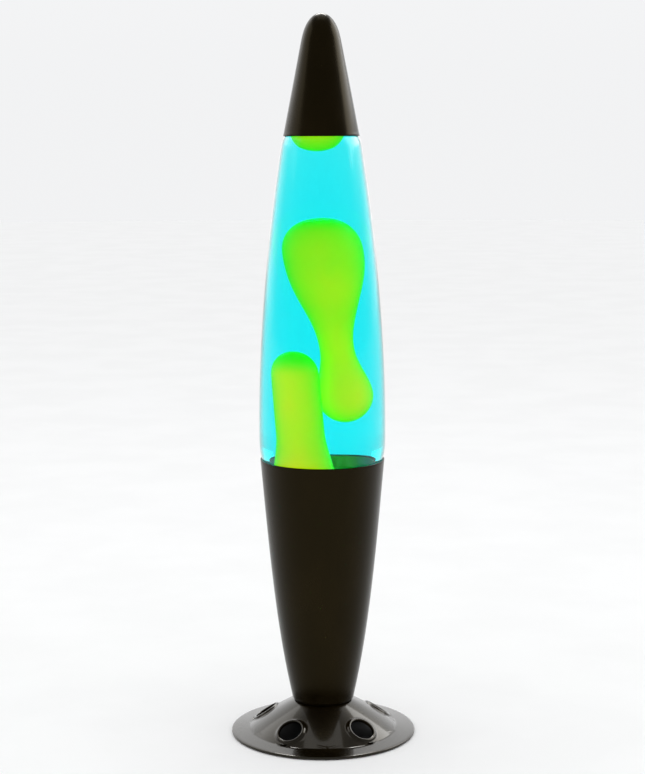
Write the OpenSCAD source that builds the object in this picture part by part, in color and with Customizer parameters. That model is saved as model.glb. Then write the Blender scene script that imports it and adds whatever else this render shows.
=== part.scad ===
// Lava lamp: a sealed glass bottle of coloured liquid and wax, standing in a spun metal holder on a
// pressed foot, heated by a small reflector bulb and topped with a lift-off metal cap.
// Millimetres. +Z is up, -Y is the front, and the origin is the centre of the foot's resting plane.

/* [Foot] */
// Diameter of the foot over its rim
foot_d = 105; // [84:1:130]
// Width of the flat flange outside the dome
flange_w = 10.5; // [8:0.5:14]
// Height of the foot, from the resting plane to the face that the holder stands on
foot_h = 19; // [15:0.5:26]
// Height of the crease where the dome meets the flange
crease_h = 3; // [2.6:0.1:4]
// Height of the flange's top face at its rim
rim_edge_h = 1.8; // [1.6:0.1:2.4]
// How far the dome bulges out from a straight cone
dome_bulge = 0.7; // [0:0.1:1.5]
// Thickness of the foot's sheet metal
foot_t = 0.9; // [0.7:0.1:1.2]
// Diameter of each round vent in the dome
vent_d = 13.6; // [8:0.2:15]
// Distance of each vent's centre inside the crease
vent_edge = 8; // [6.5:0.5:9]
// Angle by which the ring of vents is turned from a symmetrical front
vent_turn = 3.5; // [-15:0.5:15]
// Radius of the rolled bead around each vent
vent_bead = 0.8; // [0.6:0.1:1.2]
// Width of the soft ring that the foot rests on
pad_w = 6; // [4:0.5:7]

/* [Holder] */
// Height of the holder above the foot
holder_h = 140.2; // [116:0.2:170]
// Outside diameter of the holder's rim
rim_d = 70; // [58:1:84]
// Outside diameter of the holder where it meets the foot
holder_base_d = 34.2; // [28:0.2:42]
// Radius lost by the holder's straight taper from rim to foot; the rest is lost in its curve
holder_taper = 12.2; // [9:0.1:14]
// Thickness of the holder's spun sheet
holder_t = 0.8; // [0.6:0.1:1.2]
// Radius of the corner between the holder's side and its floor
floor_corner = 2.6; // [2:0.1:3]

/* [Bottle] */
// Height of glass that shows between the holder's rim and the cap
glass_show = 180.1; // [150:0.1:220]
// How far the glass stands out beyond the holder's rim at its widest
glass_bulge = 0.55; // [0.3:0.05:2]
// Height of the bottle's widest point above the holder's rim
widest_h = 18; // [12:1:26]
// Thickness of the bottle's wall
glass_t = 2.2; // [1.6:0.1:2.6]
// Thickness of the bottle's base
base_t = 3; // [2.4:0.1:4]
// Radial gap between the glass and the holder's rim
seat_gap = 0.15; // [0.1:0.05:0.4]
// Extra radial gap between the glass and the holder at the bottle's base
sunk_gap = 1.6; // [1:0.1:2.5]
// Outside radius of the bottle's mouth, which takes a crown cap
mouth_r = 13.1; // [12.8:0.1:13.4]
// Outside radius of the crimped crown cap
crown_r = 14.3; // [14:0.1:14.6]

/* [Cap] */
// Height of the cap
cap_h = 66.7; // [56:0.1:80]
// Outside diameter of the cap's lower edge
cap_d = 42.2; // [36:0.2:50.6]
// Radius that the cap's straight side would have at its very top
cap_tip_r = 8.1; // [6.5:0.1:9.5]
// Height of the rounded tip
tip_h = 18; // [14:1:22]
// Thickness of the cap's spun sheet
cap_t = 0.7; // [0.5:0.1:0.9]

/* [Wax] */
// Height of the drop of wax that rises through the liquid
drop_l = 113.6; // [95:0.2:118]
// Radius of the drop's head
head_r = 16.1; // [14:0.1:18]
// Radius of the drop's neck
neck_r = 6.8; // [4.5:0.1:8]
// Radius of the drop's lower lobe
lobe_r = 11.3; // [8.5:0.1:11.6]
// Distance that the drop can rise
drop_travel = 30; // [20:1:32]
// Radius of the column of wax that stands on the pool
column_r = 11; // [8:0.1:11.2]
// Depth of the pool of wax in the bottom of the bottle
pool_h = 22; // [14:1:26]
// Height of the cooled lump of wax that floats at the top
lump_h = 14.5; // [10:0.5:16]
// Radius of the lump at the top
lump_r = 12.2; // [8:0.1:13]

/* [Bulb and socket] */
// Diameter of the reflector bulb
bulb_d = 39; // [32:1:44]
// Overall length of the bulb
bulb_l = 66; // [58:1:80]
// Height that the bulb rises as it is unscrewed
bulb_travel = 11.3; // [8:0.1:14]
// Gap between the unscrewed bulb and the bottle above it
bulb_gap = 1.4; // [0.8:0.1:3]
// Outside diameter of the lampholder
socket_d = 25.2; // [23:0.2:28]
// Height of the lampholder above its entry cap
socket_h = 22; // [19:0.5:25]
// Outside diameter of the threaded tube that joins foot, holder and lampholder
nipple_d = 10; // [9:0.5:11]
// Bore of that tube, which the lead passes through
nipple_bore = 7; // [6:0.5:7.5]

/* [Lead inlet] */
// Bore of the inlet bush for the lead
lead_bore = 5.2; // [4:0.2:5.4]
// Outside diameter of the inlet bush where it passes through the foot
bush_d = 7.4; // [7:0.2:8]
// Length of the inlet bush, less the part of it that crosses the slope of the dome
bush_l = 6.2; // [5:0.1:8]
// Height of the bush's axis above the resting plane
bush_z = 7.6; // [7.4:0.1:8.5]

/* [Hidden] */
$fn = 72;
steps = 20;                                   // segments along each long curve
end_steps = 8;                                // segments along each short, round end

// Heights up the lamp
rim_z = foot_h + holder_h;                    // holder's rim
cap_z = rim_z + glass_show;                   // cap's lower edge
top_z = cap_z + cap_h;                        // very top
widest_z = rim_z + widest_h;                  // bottle's widest point

// Foot
foot_r = foot_d / 2;
crease_r = foot_r - flange_w;
foot_neck_r = holder_base_d / 2 - 0.6;
vent_count = 5;                               // places in the ring; the rear one is left to the lead's bush
vent_r = crease_r - vent_edge;
dome_tilt = atan2(foot_h - crease_h, crease_r - foot_neck_r);
dome_run = (crease_r - foot_neck_r) / (foot_h - crease_h);    // how far in the dome runs per unit of height
skirt_z = 0.5;                                // lower edge of the turned-down rim
rim_round = 0.5;                              // rounding of the rim's top edge
bush_flange_r = bush_d / 2 + 1;               // the bush's inner flange
bush_clear = 0.3;                             // height left between that flange and the dome
bush_full_l = bush_l + dome_run * (bush_z + bush_flange_r + bush_clear - crease_h);

// Holder
rim_r = rim_d / 2;
holder_base_r = holder_base_d / 2;
holder_curl = rim_r - holder_base_r - holder_taper;
holder_curl_power = 3.5;
floor_r = holder_base_r - floor_corner;

// Threaded tube, nut and washers
fit_gap = 0.05;                               // radial gap of a hole around the threaded tube
washer_r = 9;
washer_t = 1;
nut_h = 4;
nut_across = 17;
nipple_tail = 2;                              // length of tube that shows below the nut
draught_d = 3;                                // small holes that let air up into the holder
draught_count = 6;
draught_r = (washer_r + floor_r) / 2;

// Lampholder
entry_z = foot_h + holder_t + washer_t;       // underside of the entry cap
entry_neck_r = 7.6;
entry_neck_h = 4.4;
entry_h = 10;                                 // height of the entry cap
socket_r = socket_d / 2;
socket_t = 1.4;
carrier_z = entry_z + entry_h - 2;            // underside of the contact carrier
carrier_t = 5;
shell_bore_r = 7.05;                          // inside of the lampholder's screw shell
shell_t = 0.35;
socket_z = entry_z + entry_h;                 // lower edge of the lampholder's body
socket_top = socket_z + socket_h;
contact_h = 2.4;                              // height of the sprung leaf under the bulb's tip
leaf_w = 3;
leaf_t = 0.4;
terminal_x = 6.8;                             // the two terminals, from the axis
terminal_t = 0.6;
terminal_screw_r = 1.4;
terminal_head_r = 1.9;
terminal_head_h = 0.9;
grub_r = 1.25;
grub_z = entry_z + entry_neck_h / 2;

// Bulb
bulb_z = carrier_z + carrier_t + contact_h + 0.1;   // underside of the bulb's tip
bulb_r = bulb_d / 2;
bulb_top = bulb_z + bulb_l;
tip_contact_h = 1.2;
insulator_h = 2.2;
screw_r = 6.9;                                // outside of the bulb's screw thread
screw_z = bulb_z + tip_contact_h + insulator_h;
screw_top = socket_top + 2;                   // where the bulb's cap widens above the lampholder
collar_r = 8.5;
collar_h = 5;
collar_top = screw_top + collar_h;
brass_t = 0.3;
bulb_t = 0.7;
bulb_front_h = 11;                            // height of the bulb's domed front
bulb_wide_z = bulb_top - bulb_front_h;
bulb_neck_r = collar_r - brass_t - 0.1;
stem_z = screw_z + 1.4;                       // foot of the glass stem, on the floor of the brass cap
stem_h = bulb_wide_z - stem_z - 16;
filament_z = bulb_wide_z - 4;                 // where the lead-in wires end
filament_l = 13;
lead_r = 0.35;
lead_foot_x = 1.2;                            // lead-in wires at the stem's foot and at the filament
lead_top_x = 6;

// Bottle
bottle_r = rim_r + glass_bulge;
base_z = bulb_top + bulb_travel + bulb_gap;   // underside of the bottle
base_corner = 5;
punt_h = 3;                                   // how far the base is pushed up in the middle
seat_r = rim_r - holder_t - seat_gap;         // glass where it passes the holder's rim
seat_power = 4;
glass_power = 1.87;                           // how the bottle's side curves towards the cap
shoulder_gap = 0.15;                          // radial gap between the glass and the cap's lower edge
cap_r0 = cap_d / 2;
shoulder_r = cap_r0 - cap_t - shoulder_gap;
glass_top_r = cap_r0 + 0.2;
lip_h = 4;                                    // height over which the glass tucks in under the cap
cap_slope = (cap_r0 - cap_tip_r) / cap_h;
cap_power = 3.5;
crown_gap = 1.6;                              // radial gap between the crown cap and the cap's inside
crown_h = 6;
crown_t = 0.3;
liner_t = 0.6;
crown_z = cap_z + (cap_r0 - cap_t - crown_r - crown_gap) / cap_slope;
mouth_z = crown_z + crown_h - crown_t - liner_t;
mouth_bore_r = 8.5;
collar_drop = 3;                              // height of the mouth's plain collar below the crown
glass_neck_r = mouth_r - 0.9;
neck_foot_z = crown_z - collar_drop;          // where the shoulder ends in the straight neck
fluid_share = 0.333;                          // share of the shoulder's height that the liquid fills
fluid_z = cap_z + fluid_share * (neck_foot_z - cap_z);

// Wax
lump_top = fluid_z - 1.5;
lump_bottom = lump_top - lump_h;
drop_top = lump_bottom - 6 - drop_travel;
drop_z = drop_top - drop_l;
drop_lean = 6.3;                              // degrees that the drop leans from upright
drop_x = 10.6;                                // the drop's foot, from the axis
drop_y = 5;
lobe_at = 14;                                 // heights of the drop's lobe, neck and head above its foot
neck_at = 41;
head_at = drop_l - 22;
head_power = 2.3;                             // 2 gives the head a round top, and more a flatter one
wax_gap = 0.4;                                // liquid left clear around the moving drop
inner_base_z = base_z + base_t;
pool_top = inner_base_z + punt_h + pool_h;
column_top = drop_z + neck_at;
column_x = -7.4;                              // the column's foot, from the axis
column_y = -5;
column_sunk = 1;                              // how far the column's foot stands in the pool
column_base = pool_top - column_sunk;
column_shift = 3.93;                          // how far the column stands back from its foot beside the lobe
column_lean = asin(column_shift / (drop_z + lobe_at - column_base));
column_foot_r = 15.5;
column_dome_h = 13;                           // height of the column's round top
lump_x = -2;                                  // the lump's centre, from the axis
coil_r = 17;
coil_wire_r = 2;
coil_z = inner_base_z + punt_h + coil_wire_r + 0.2;    // the coil's centre, just clear of the base

// ---- Curves ----

function blend(a, b, t) = a + (b - a) * (1 - cos(180 * t)) / 2;

// Outside radius of the holder at height z
function holder_side(z) =
  let (u = (rim_z - z) / holder_h)
  rim_r - holder_taper * u - holder_curl * pow(u, holder_curl_power);

// Height of the foot's dome at radius r
function dome_z(r) =
  let (t = (crease_r - r) / (crease_r - foot_neck_r))
  crease_h + (foot_h - crease_h) * t + dome_bulge * 4 * t * (1 - t);

// Height of the flange's top face at radius r
function flange_z(r) = crease_h - (crease_h - rim_edge_h) * (r - crease_r) / flange_w;

// Outside radius of the bottle at height z, from its base to the cap's lower edge
function sunk_side(z) =
  holder_side(z) - holder_t - seat_gap - sunk_gap * (rim_z - z) / (rim_z - base_z);
function seat_side(z) =
  bottle_r - (bottle_r - seat_r) * pow((widest_z - z) / widest_h, seat_power);
function upper_side(z) =
  let (lip = max(0, (z - cap_z + lip_h) / lip_h))
  bottle_r - (bottle_r - glass_top_r) * pow((z - widest_z) / (cap_z - widest_z), glass_power)
  - (glass_top_r - shoulder_r) * lip * lip;
function bottle_side(z) = z < rim_z ? sunk_side(z) : z < widest_z ? seat_side(z) : upper_side(z);

// Radius of the bottle's shoulder, hidden in the cap
function shoulder_side(z) =
  shoulder_r - (shoulder_r - glass_neck_r) * sin(90 * (z - cap_z) / (neck_foot_z - cap_z));

// Outside radius of the cap at height z
function cap_side(z) =
  let (t = max(0, (z - top_z + tip_h) / tip_h))
  (cap_r0 - cap_slope * (z - cap_z)) * sqrt(max(0, 1 - pow(t, cap_power)));

// Radius of the drop at height s above its foot
function drop_side(s) =
  s < lobe_at ? lobe_r * sqrt(1 - pow((lobe_at - s) / lobe_at, 2)) :
  s < neck_at ? blend(lobe_r, neck_r, (s - lobe_at) / (neck_at - lobe_at)) :
  s < head_at ? blend(neck_r, head_r, (s - neck_at) / (head_at - neck_at)) :
  head_r * pow(max(0, 1 - pow((s - head_at) / (drop_l - head_at), head_power)), 1 / head_power);

// Heights from a to b, in n steps
function heights(a, b, n) = [for (i = [0:n]) a + (b - a) * i / n];

// ---- Foot ----

// A vent's place, looking along its axis with +Z out of the dome
module at_vent(i) {
  rotate([0, 0, -90 + vent_turn + (i - 0.5) * 360 / vent_count])
    translate([vent_r, 0, dome_z(vent_r)])
      rotate([0, dome_tilt, 0])
        children();
}

module draught_holes(z, h) {
  for (i = [1:draught_count])
    rotate([0, 0, i * 360 / draught_count])
      translate([draught_r, 0, z])
        cylinder(d = draught_d, h = h);
}

module foot() {
  tube_hole_r = nipple_d / 2 + fit_gap;
  dome_radii = heights(crease_r, foot_neck_r, end_steps);
  lift = foot_t / cos(dome_tilt);
  color([0.06, 0.055, 0.045])
    difference() {
      union() {
        rotate_extrude()
          polygon(concat(
            [[foot_r - foot_t, skirt_z], [foot_r, skirt_z], [foot_r, rim_edge_h - rim_round]],
            [for (a = [30, 60, 90])
              [foot_r - rim_round * (1 - cos(a)), rim_edge_h - rim_round * (1 - sin(a))]],
            [for (r = dome_radii) [r, dome_z(r)]],
            [[tube_hole_r, foot_h], [tube_hole_r, foot_h - foot_t], [foot_neck_r - 2, foot_h - foot_t]],
            [for (i = [end_steps:-1:0]) [dome_radii[i] - foot_t * 0.4, dome_z(dome_radii[i]) - lift]],
            [[foot_r - foot_t, flange_z(foot_r - foot_t) - foot_t]]
          ));
        for (i = [0, 1, 2, 4])
          at_vent(i)
            rotate_extrude()
              translate([vent_d / 2 + vent_bead * 0.75, 0])
                circle(r = vent_bead, $fn = 24);
      }
      for (i = [0, 1, 2, 4])
        at_vent(i)
          translate([0, 0, -4])
            cylinder(d = vent_d, h = 8);
      translate([0, crease_r + 4, bush_z])
        rotate([90, 0, 0])
          cylinder(d = bush_d, h = bush_full_l + 4);
      draught_holes(foot_h - foot_t - 1, foot_t + 2);
    }
}

module foot_pad() {
  outer_r = foot_r - foot_t - 0.3;
  color([0.03, 0.03, 0.03])
    rotate_extrude()
      polygon([
        [outer_r - pad_w, 0],
        [outer_r, 0],
        [outer_r, pad_top(outer_r)],
        [outer_r - pad_w, pad_top(outer_r - pad_w)]
      ]);
}

// Underside of the flange at radius r
function under_crease() = [crease_r - foot_t * 0.4, crease_h - foot_t / cos(dome_tilt)];
function under_rim() = [foot_r - foot_t, flange_z(foot_r - foot_t) - foot_t];
function pad_top(r) =
  let (a = under_crease(), b = under_rim())
  a[1] + (b[1] - a[1]) * (r - a[0]) / (b[0] - a[0]);

// Bush for the lead, lying along Y at the rear of the foot
module lead_bush() {
  collar_w = 1.4;
  color([0.04, 0.04, 0.04])
    translate([0, crease_r + 2, bush_z])
      rotate([90, 0, 0])
        difference() {
          union() {
            cylinder(d = bush_d, h = bush_full_l);
            cylinder(d = bush_d + 1.2, h = collar_w);
            translate([0, 0, bush_full_l - collar_w])
              cylinder(r = bush_flange_r, h = collar_w);
          }
          translate([0, 0, -1])
            cylinder(d = lead_bore, h = bush_full_l + 2);
        }
}

// ---- Holder ----

module holder() {
  hole_r = nipple_d / 2 + fit_gap;
  side_z = heights(foot_h + floor_corner, rim_z, steps);
  edge = holder_t / 2;
  corner_r = holder_side(foot_h + floor_corner);
  color([0.07, 0.06, 0.04])
    difference() {
      rotate_extrude()
        polygon(concat(
          [[hole_r, foot_h]],
          [for (a = heights(0, 75, 5))
            [corner_r - floor_corner * (1 - sin(a)), foot_h + floor_corner * (1 - cos(a))]],
          [for (i = [0:steps - 1]) [holder_side(side_z[i]), side_z[i]]],
          [for (a = heights(0, 180, end_steps))
            [holder_side(rim_z) - edge + edge * cos(a), rim_z - edge + edge * sin(a)]],
          [for (i = [steps - 1:-1:0]) [holder_side(side_z[i]) - holder_t, side_z[i]]],
          [for (a = heights(75, 0, 5))
            [corner_r - holder_t - (floor_corner - holder_t) * (1 - sin(a)),
             foot_h + holder_t + (floor_corner - holder_t) * (1 - cos(a))]],
          [[hole_r, foot_h + holder_t]]
        ));
      draught_holes(foot_h - 1, holder_t + 2);
    }
}

// ---- Threaded tube and what it clamps ----

module nipple() {
  low = foot_h - foot_t - washer_t - nut_h - nipple_tail;
  color([0.75, 0.72, 0.62])
    rotate_extrude()
      polygon([
        [nipple_bore / 2, low],
        [nipple_d / 2 - 0.5, low],
        [nipple_d / 2, low + 0.5],
        [nipple_d / 2, entry_z + entry_neck_h - 0.5],
        [nipple_d / 2 - 0.5, entry_z + entry_neck_h],
        [nipple_bore / 2, entry_z + entry_neck_h]
      ]);
}

module lock_washer() {
  teeth = 12;
  color([0.7, 0.7, 0.68])
    translate([0, 0, foot_h - foot_t - washer_t])
      difference() {
        cylinder(r = washer_r, h = washer_t);
        translate([0, 0, -1])
          cylinder(r = nipple_d / 2 + fit_gap, h = washer_t + 2);
        for (i = [1:teeth])
          rotate([0, 0, i * 360 / teeth])
            translate([washer_r - 1.4, -0.5, -1])
              cube([3, 1, washer_t + 2]);
      }
}

module lock_nut() {
  color([0.75, 0.72, 0.62])
    translate([0, 0, foot_h - foot_t - washer_t - nut_h])
      difference() {
        cylinder(d = nut_across / cos(30), h = nut_h, $fn = 6);
        translate([0, 0, -1])
          cylinder(d = nipple_d, h = nut_h + 2, $fn = 72);
      }
}

module floor_washer() {
  color([0.7, 0.7, 0.68])
    translate([0, 0, foot_h + holder_t])
      difference() {
        cylinder(r = washer_r - 1, h = washer_t);
        translate([0, 0, -1])
          cylinder(r = nipple_d / 2 + fit_gap, h = washer_t + 2);
      }
}

// ---- Lampholder ----

module socket_entry_cap() {
  cup_z = entry_z + entry_neck_h;
  color([0.9, 0.88, 0.82])
    difference() {
      rotate_extrude()
        polygon([
          [nipple_d / 2, entry_z],
          [entry_neck_r, entry_z],
          [entry_neck_r, cup_z - 1],
          [socket_r - 1.5, cup_z + 1],
          [socket_r, cup_z + 2.5],
          [socket_r, entry_z + entry_h],
          [socket_r - socket_t, entry_z + entry_h],
          [socket_r - socket_t, carrier_z],
          [socket_r - socket_t - 1, carrier_z],
          [socket_r - socket_t - 1, cup_z + 2.8],
          [socket_r - socket_t - 2.4, cup_z + 2],
          [nipple_d / 2, cup_z]
        ]);
      translate([0, 0, grub_z])
        rotate([0, 90, 0])
          cylinder(r = grub_r, h = entry_neck_r + 2);
    }
}

// Screw that locks the lampholder on the threaded tube
module grub_screw() {
  length = entry_neck_r - nipple_d / 2;
  slot_w = 0.5;
  slot_depth = 0.7;
  color([0.5, 0.5, 0.5])
    translate([nipple_d / 2, 0, grub_z])
      rotate([0, 90, 0])
        difference() {
          cylinder(r = grub_r, h = length);
          translate([-grub_r - 1, -slot_w / 2, length - slot_depth])
            cube([2 * grub_r + 2, slot_w, slot_depth + 1]);
        }
}

module contact_carrier() {
  color([0.93, 0.91, 0.86])
    difference() {
      translate([0, 0, carrier_z])
        cylinder(r = socket_r - socket_t, h = carrier_t);
      for (side = [-1, 1])
        translate([side * terminal_x, 0, carrier_z - 1])
          cylinder(r = terminal_screw_r, h = 4);
    }
}

module terminals() {
  plate_l = 6;
  color([0.8, 0.65, 0.3])
    for (side = [-1, 1])
      translate([side * terminal_x, 0, carrier_z - terminal_t])
        difference() {
          translate([-terminal_head_r, -plate_l / 2, 0])
            cube([2 * terminal_head_r, plate_l, terminal_t]);
          translate([0, 0, -1])
            cylinder(r = terminal_screw_r, h = 3);
        }
}

module terminal_screws() {
  head_z = carrier_z - terminal_t - terminal_head_h;
  slot_w = 0.6;
  color([0.7, 0.7, 0.68])
    for (side = [-1, 1])
      translate([side * terminal_x, 0, head_z])
        difference() {
          union() {
            cylinder(r = terminal_head_r, h = terminal_head_h);
            cylinder(r = terminal_screw_r, h = terminal_head_h + terminal_t + 2.5);
          }
          translate([-terminal_head_r - 1, -slot_w / 2, -1])
            cube([2 * terminal_head_r + 2, slot_w, 1.5]);
        }
}

// Sprung leaf that the bulb's tip presses on
module centre_contact() {
  color([0.85, 0.6, 0.3])
    translate([0, leaf_w / 2, carrier_z + carrier_t])
      rotate([90, 0, 0])
        linear_extrude(leaf_w)
          polygon([
            [-5, 0], [-3.4, 0], [-1.6, contact_h - leaf_t], [1.6, contact_h - leaf_t], [2.6, 0.9],
            [3, 1.1], [1.9, contact_h], [-1.9, contact_h], [-3.7, leaf_t], [-5, leaf_t]
          ]);
}

module screw_shell() {
  color([0.8, 0.68, 0.35])
    translate([0, 0, carrier_z + carrier_t])
      difference() {
        cylinder(r = shell_bore_r + shell_t, h = socket_top - 2 - carrier_z - carrier_t);
        translate([0, 0, -1])
          cylinder(r = shell_bore_r, h = socket_h + 10);
      }
}

module socket_body() {
  color([0.92, 0.9, 0.84])
    rotate_extrude()
      polygon([
        [socket_r - socket_t, socket_z],
        [socket_r, socket_z],
        [socket_r, socket_z + 3],
        [socket_r - 1, socket_z + 4],
        [socket_r - 1, socket_top - 1.2],
        [socket_r - 2, socket_top],
        [shell_bore_r + shell_t + 0.9, socket_top],
        [shell_bore_r + shell_t, socket_top - 1],
        [shell_bore_r + shell_t, socket_z + 8],
        [socket_r - socket_t - 1, socket_z + 5],
        [socket_r - socket_t - 1, carrier_z + carrier_t],
        [socket_r - socket_t, carrier_z + carrier_t]
      ]);
}

// ---- Bulb ----

module bulb_tip() {
  color([0.75, 0.75, 0.72])
    translate([0, 0, bulb_z])
      cylinder(r1 = 1.6, r2 = 2.6, h = tip_contact_h);
}

module bulb_insulator() {
  color([0.1, 0.08, 0.1])
    translate([0, 0, bulb_z + tip_contact_h])
      cylinder(r1 = 3.4, r2 = screw_r - 0.9, h = insulator_h);
}

module bulb_screw_cap() {
  inner_r = screw_r - brass_t;
  color([0.85, 0.75, 0.45])
    rotate_extrude()
      polygon([
        [0, screw_z],
        [screw_r - 0.9, screw_z],
        [screw_r, screw_z + 1.2],
        [screw_r, screw_top - 1],
        [collar_r, screw_top + 1],
        [collar_r, collar_top],
        [collar_r - brass_t, collar_top],
        [collar_r - brass_t, screw_top + 1.2],
        [inner_r, screw_top - 0.8],
        [inner_r, screw_z + 1.4],
        [0, screw_z + 1.4]
      ]);
}

// Points of the bulb's glass from its neck to the middle of its front, drawn in by inset
function bulb_outline(inset) = concat(
  [[bulb_neck_r - inset, screw_top + 1.6]],
  [for (z = heights(collar_top, bulb_wide_z, 10))
    let (t = (z - collar_top) / (bulb_wide_z - collar_top))
    [bulb_neck_r + (bulb_r - bulb_neck_r) * sin(90 * pow(t, 1.15)) - inset, z]],
  [for (a = heights(15, 90, 6))
    [(bulb_r - inset) * cos(a), bulb_wide_z + (bulb_front_h - inset) * sin(a)]]
);

module bulb_glass() {
  outside = bulb_outline(0);
  inside = bulb_outline(bulb_t);
  color([0.85, 0.87, 0.88])
    rotate_extrude()
      polygon(concat(outside, [for (i = [len(inside) - 1:-1:0]) inside[i]]));
}

module bulb_stem() {
  color([0.8, 0.85, 0.85])
    difference() {
      translate([0, 0, stem_z])
        cylinder(r1 = 4.6, r2 = 1.6, h = stem_h);
      for (side = [-1, 1])
        lead(side);
    }
}

// One lead-in wire, bent out above the stem
module lead(side) {
  knee_z = stem_z + stem_h * 0.35;
  rise = filament_z - knee_z;
  run = lead_top_x - lead_foot_x;
  translate([side * lead_foot_x, 0, stem_z])
    cylinder(r = lead_r, h = knee_z - stem_z);
  translate([side * lead_foot_x, 0, knee_z])
    sphere(r = lead_r * 1.6, $fn = 24);
  translate([side * lead_foot_x, 0, knee_z])
    rotate([0, side * atan2(run, rise), 0])
      cylinder(r = lead_r, h = norm([run, rise]));
}

module bulb_leads() {
  color([0.7, 0.7, 0.7])
    for (side = [-1, 1])
      lead(side);
}

// The coiled filament, as the rod that its turns fill
module filament() {
  color([0.9, 0.8, 0.6])
    translate([0, 0, filament_z + 0.55])
      rotate([0, 90, 0])
        cylinder(r = 0.4, h = filament_l, center = true);
}

// ---- Bottle and what it holds ----

// Outline of the bottle's inside, from the middle of its base up to the foot of its neck
function cavity_outline() = concat(
  [[0, inner_base_z + punt_h], [bottle_side(base_z + base_corner) * 0.45, inner_base_z + punt_h * 0.8]],
  [for (a = heights(-90, 0, 6))
    [bottle_side(base_z + base_corner) - glass_t - (base_corner - 1) * (1 - cos(a)),
     inner_base_z + base_corner - 1 + (base_corner - 1) * sin(a)]],
  [for (h = heights(base_z + base_corner + 6, rim_z, 6)) [bottle_side(h) - glass_t, h]],
  [for (h = heights(rim_z + 3, widest_z, 4)) [bottle_side(h) - glass_t, h]],
  [for (i = [1:steps]) let (h = widest_z + (cap_z - widest_z) * i / steps) [bottle_side(h) - glass_t, h]],
  [for (h = heights(cap_z + 3, neck_foot_z, 5)) [shoulder_side(h) - glass_t, h]]
);

// The bottle's inside between two heights
module cavity(low, high) {
  intersection() {
    rotate_extrude()
      polygon(concat(cavity_outline(), [[0, neck_foot_z]]));
    translate([0, 0, low])
      cylinder(r = bottle_r + 10, h = high - low);
  }
}

module bottle() {
  inside = cavity_outline();
  edge_r = bottle_side(base_z + base_corner);
  color([0.75, 0.93, 0.95])
    rotate_extrude()
      polygon(concat(
        [[0, base_z + punt_h],
         [edge_r * 0.45, base_z + punt_h * 0.8],
         [edge_r - base_corner - 2, base_z + 0.4]],
        [for (a = heights(-90, 0, 6))
          [edge_r - base_corner * (1 - cos(a)), base_z + base_corner + base_corner * sin(a)]],
        [for (h = heights(base_z + base_corner + 6, rim_z, 6)) [bottle_side(h), h]],
        [for (h = heights(rim_z + 3, widest_z, 4)) [bottle_side(h), h]],
        [for (i = [1:steps]) let (h = widest_z + (cap_z - widest_z) * i / steps) [bottle_side(h), h]],
        [for (h = heights(cap_z + 3, neck_foot_z, 5)) [shoulder_side(h), h]],
        [[glass_neck_r, mouth_z - 4.5],
         [mouth_r, mouth_z - 3.6],
         [mouth_r, mouth_z - 1.2],
         [mouth_r - 1.2, mouth_z],
         [mouth_bore_r + 0.6, mouth_z],
         [mouth_bore_r, mouth_z - 0.6]],
        [[mouth_bore_r, neck_foot_z + 1.5]],
        [for (i = [len(inside) - 1:-1:0]) inside[i]]
      ));
}

module drop_shape(grow) {
  s_values = concat(
    [for (a = heights(0, 90, end_steps)) lobe_at * (1 - cos(a))],
    heights(lobe_at + 4, neck_at, 6),
    heights(neck_at + 5, head_at, 10),
    [for (a = heights(10, 90, end_steps)) head_at + (drop_l - head_at) * sin(a)]
  );
  last = len(s_values) - 1;
  translate([drop_x, drop_y, drop_z])
    rotate([0, -drop_lean, 0])
      rotate_extrude()
        polygon(concat(
          [[0, -grow]],
          [for (i = [1:last - 1]) [drop_side(s_values[i]) + grow, s_values[i]]],
          [[0, drop_l + grow]]
        ));
}

module column_shape() {
  tall = column_top - column_base;
  translate([column_x, column_y, column_base])
    rotate([0, -column_lean, 0])
      rotate_extrude()
        polygon(concat(
          [[0, 0]],
          [for (t = heights(0, 1, 8))
            [blend(column_foot_r, column_r, t), (tall - column_dome_h) * 0.5 * t]],
          [for (a = heights(0, 80, 7))
            [column_r * cos(a), tall - column_dome_h + column_dome_h * sin(a)]],
          [[0, tall]]
        ));
}

module coil_ring() {
  translate([0, 0, coil_z])
    rotate_extrude()
      translate([coil_r, 0])
        circle(r = coil_wire_r, $fn = 32);
}

// Groove that the coil leaves in the underside of the wax
module coil_groove() {
  room = 0.3;
  rotate_extrude()
    translate([coil_r - coil_wire_r - room, inner_base_z - 1])
      square([2 * (coil_wire_r + room), coil_z + coil_wire_r + room - inner_base_z + 1]);
}

// Pool of wax in the bottom of the bottle, with the column that rises from it
module wax_pool() {
  color([0.6, 0.9, 0.05])
    difference() {
      union() {
        cavity(inner_base_z - 1, pool_top);
        column_shape();
      }
      coil_groove();
    }
}

// Ring of coiled wire that lies in the wax, as the ring that its turns fill
module wire_coil() {
  color([0.7, 0.7, 0.7])
    coil_ring();
}

module wax_lump() {
  color([0.55, 0.9, 0.05])
    lump_shape();
}

module lump_shape() {
  translate([lump_x, 0, lump_bottom])
    rotate_extrude()
      polygon(concat(
        [[0, 0]],
        [for (a = heights(15, 90, 6)) [lump_r * sin(a), lump_h * 0.7 * (1 - cos(a))]],
        [[lump_r - 0.6, lump_h], [0, lump_h]]
      ));
}

module wax_drop() {
  color([0.6, 0.9, 0.05])
    drop_shape(0);
}

module fluid() {
  color([0.0, 0.85, 1.0, 0.6])
    difference() {
      cavity(pool_top, fluid_z);
      column_shape();
      lump_shape();
      drop_shape(wax_gap);
    }
}

// ---- Closure ----

module crown_liner() {
  color([0.9, 0.9, 0.88])
    translate([0, 0, mouth_z])
      cylinder(r = mouth_r - 0.6, h = liner_t);
}

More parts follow.
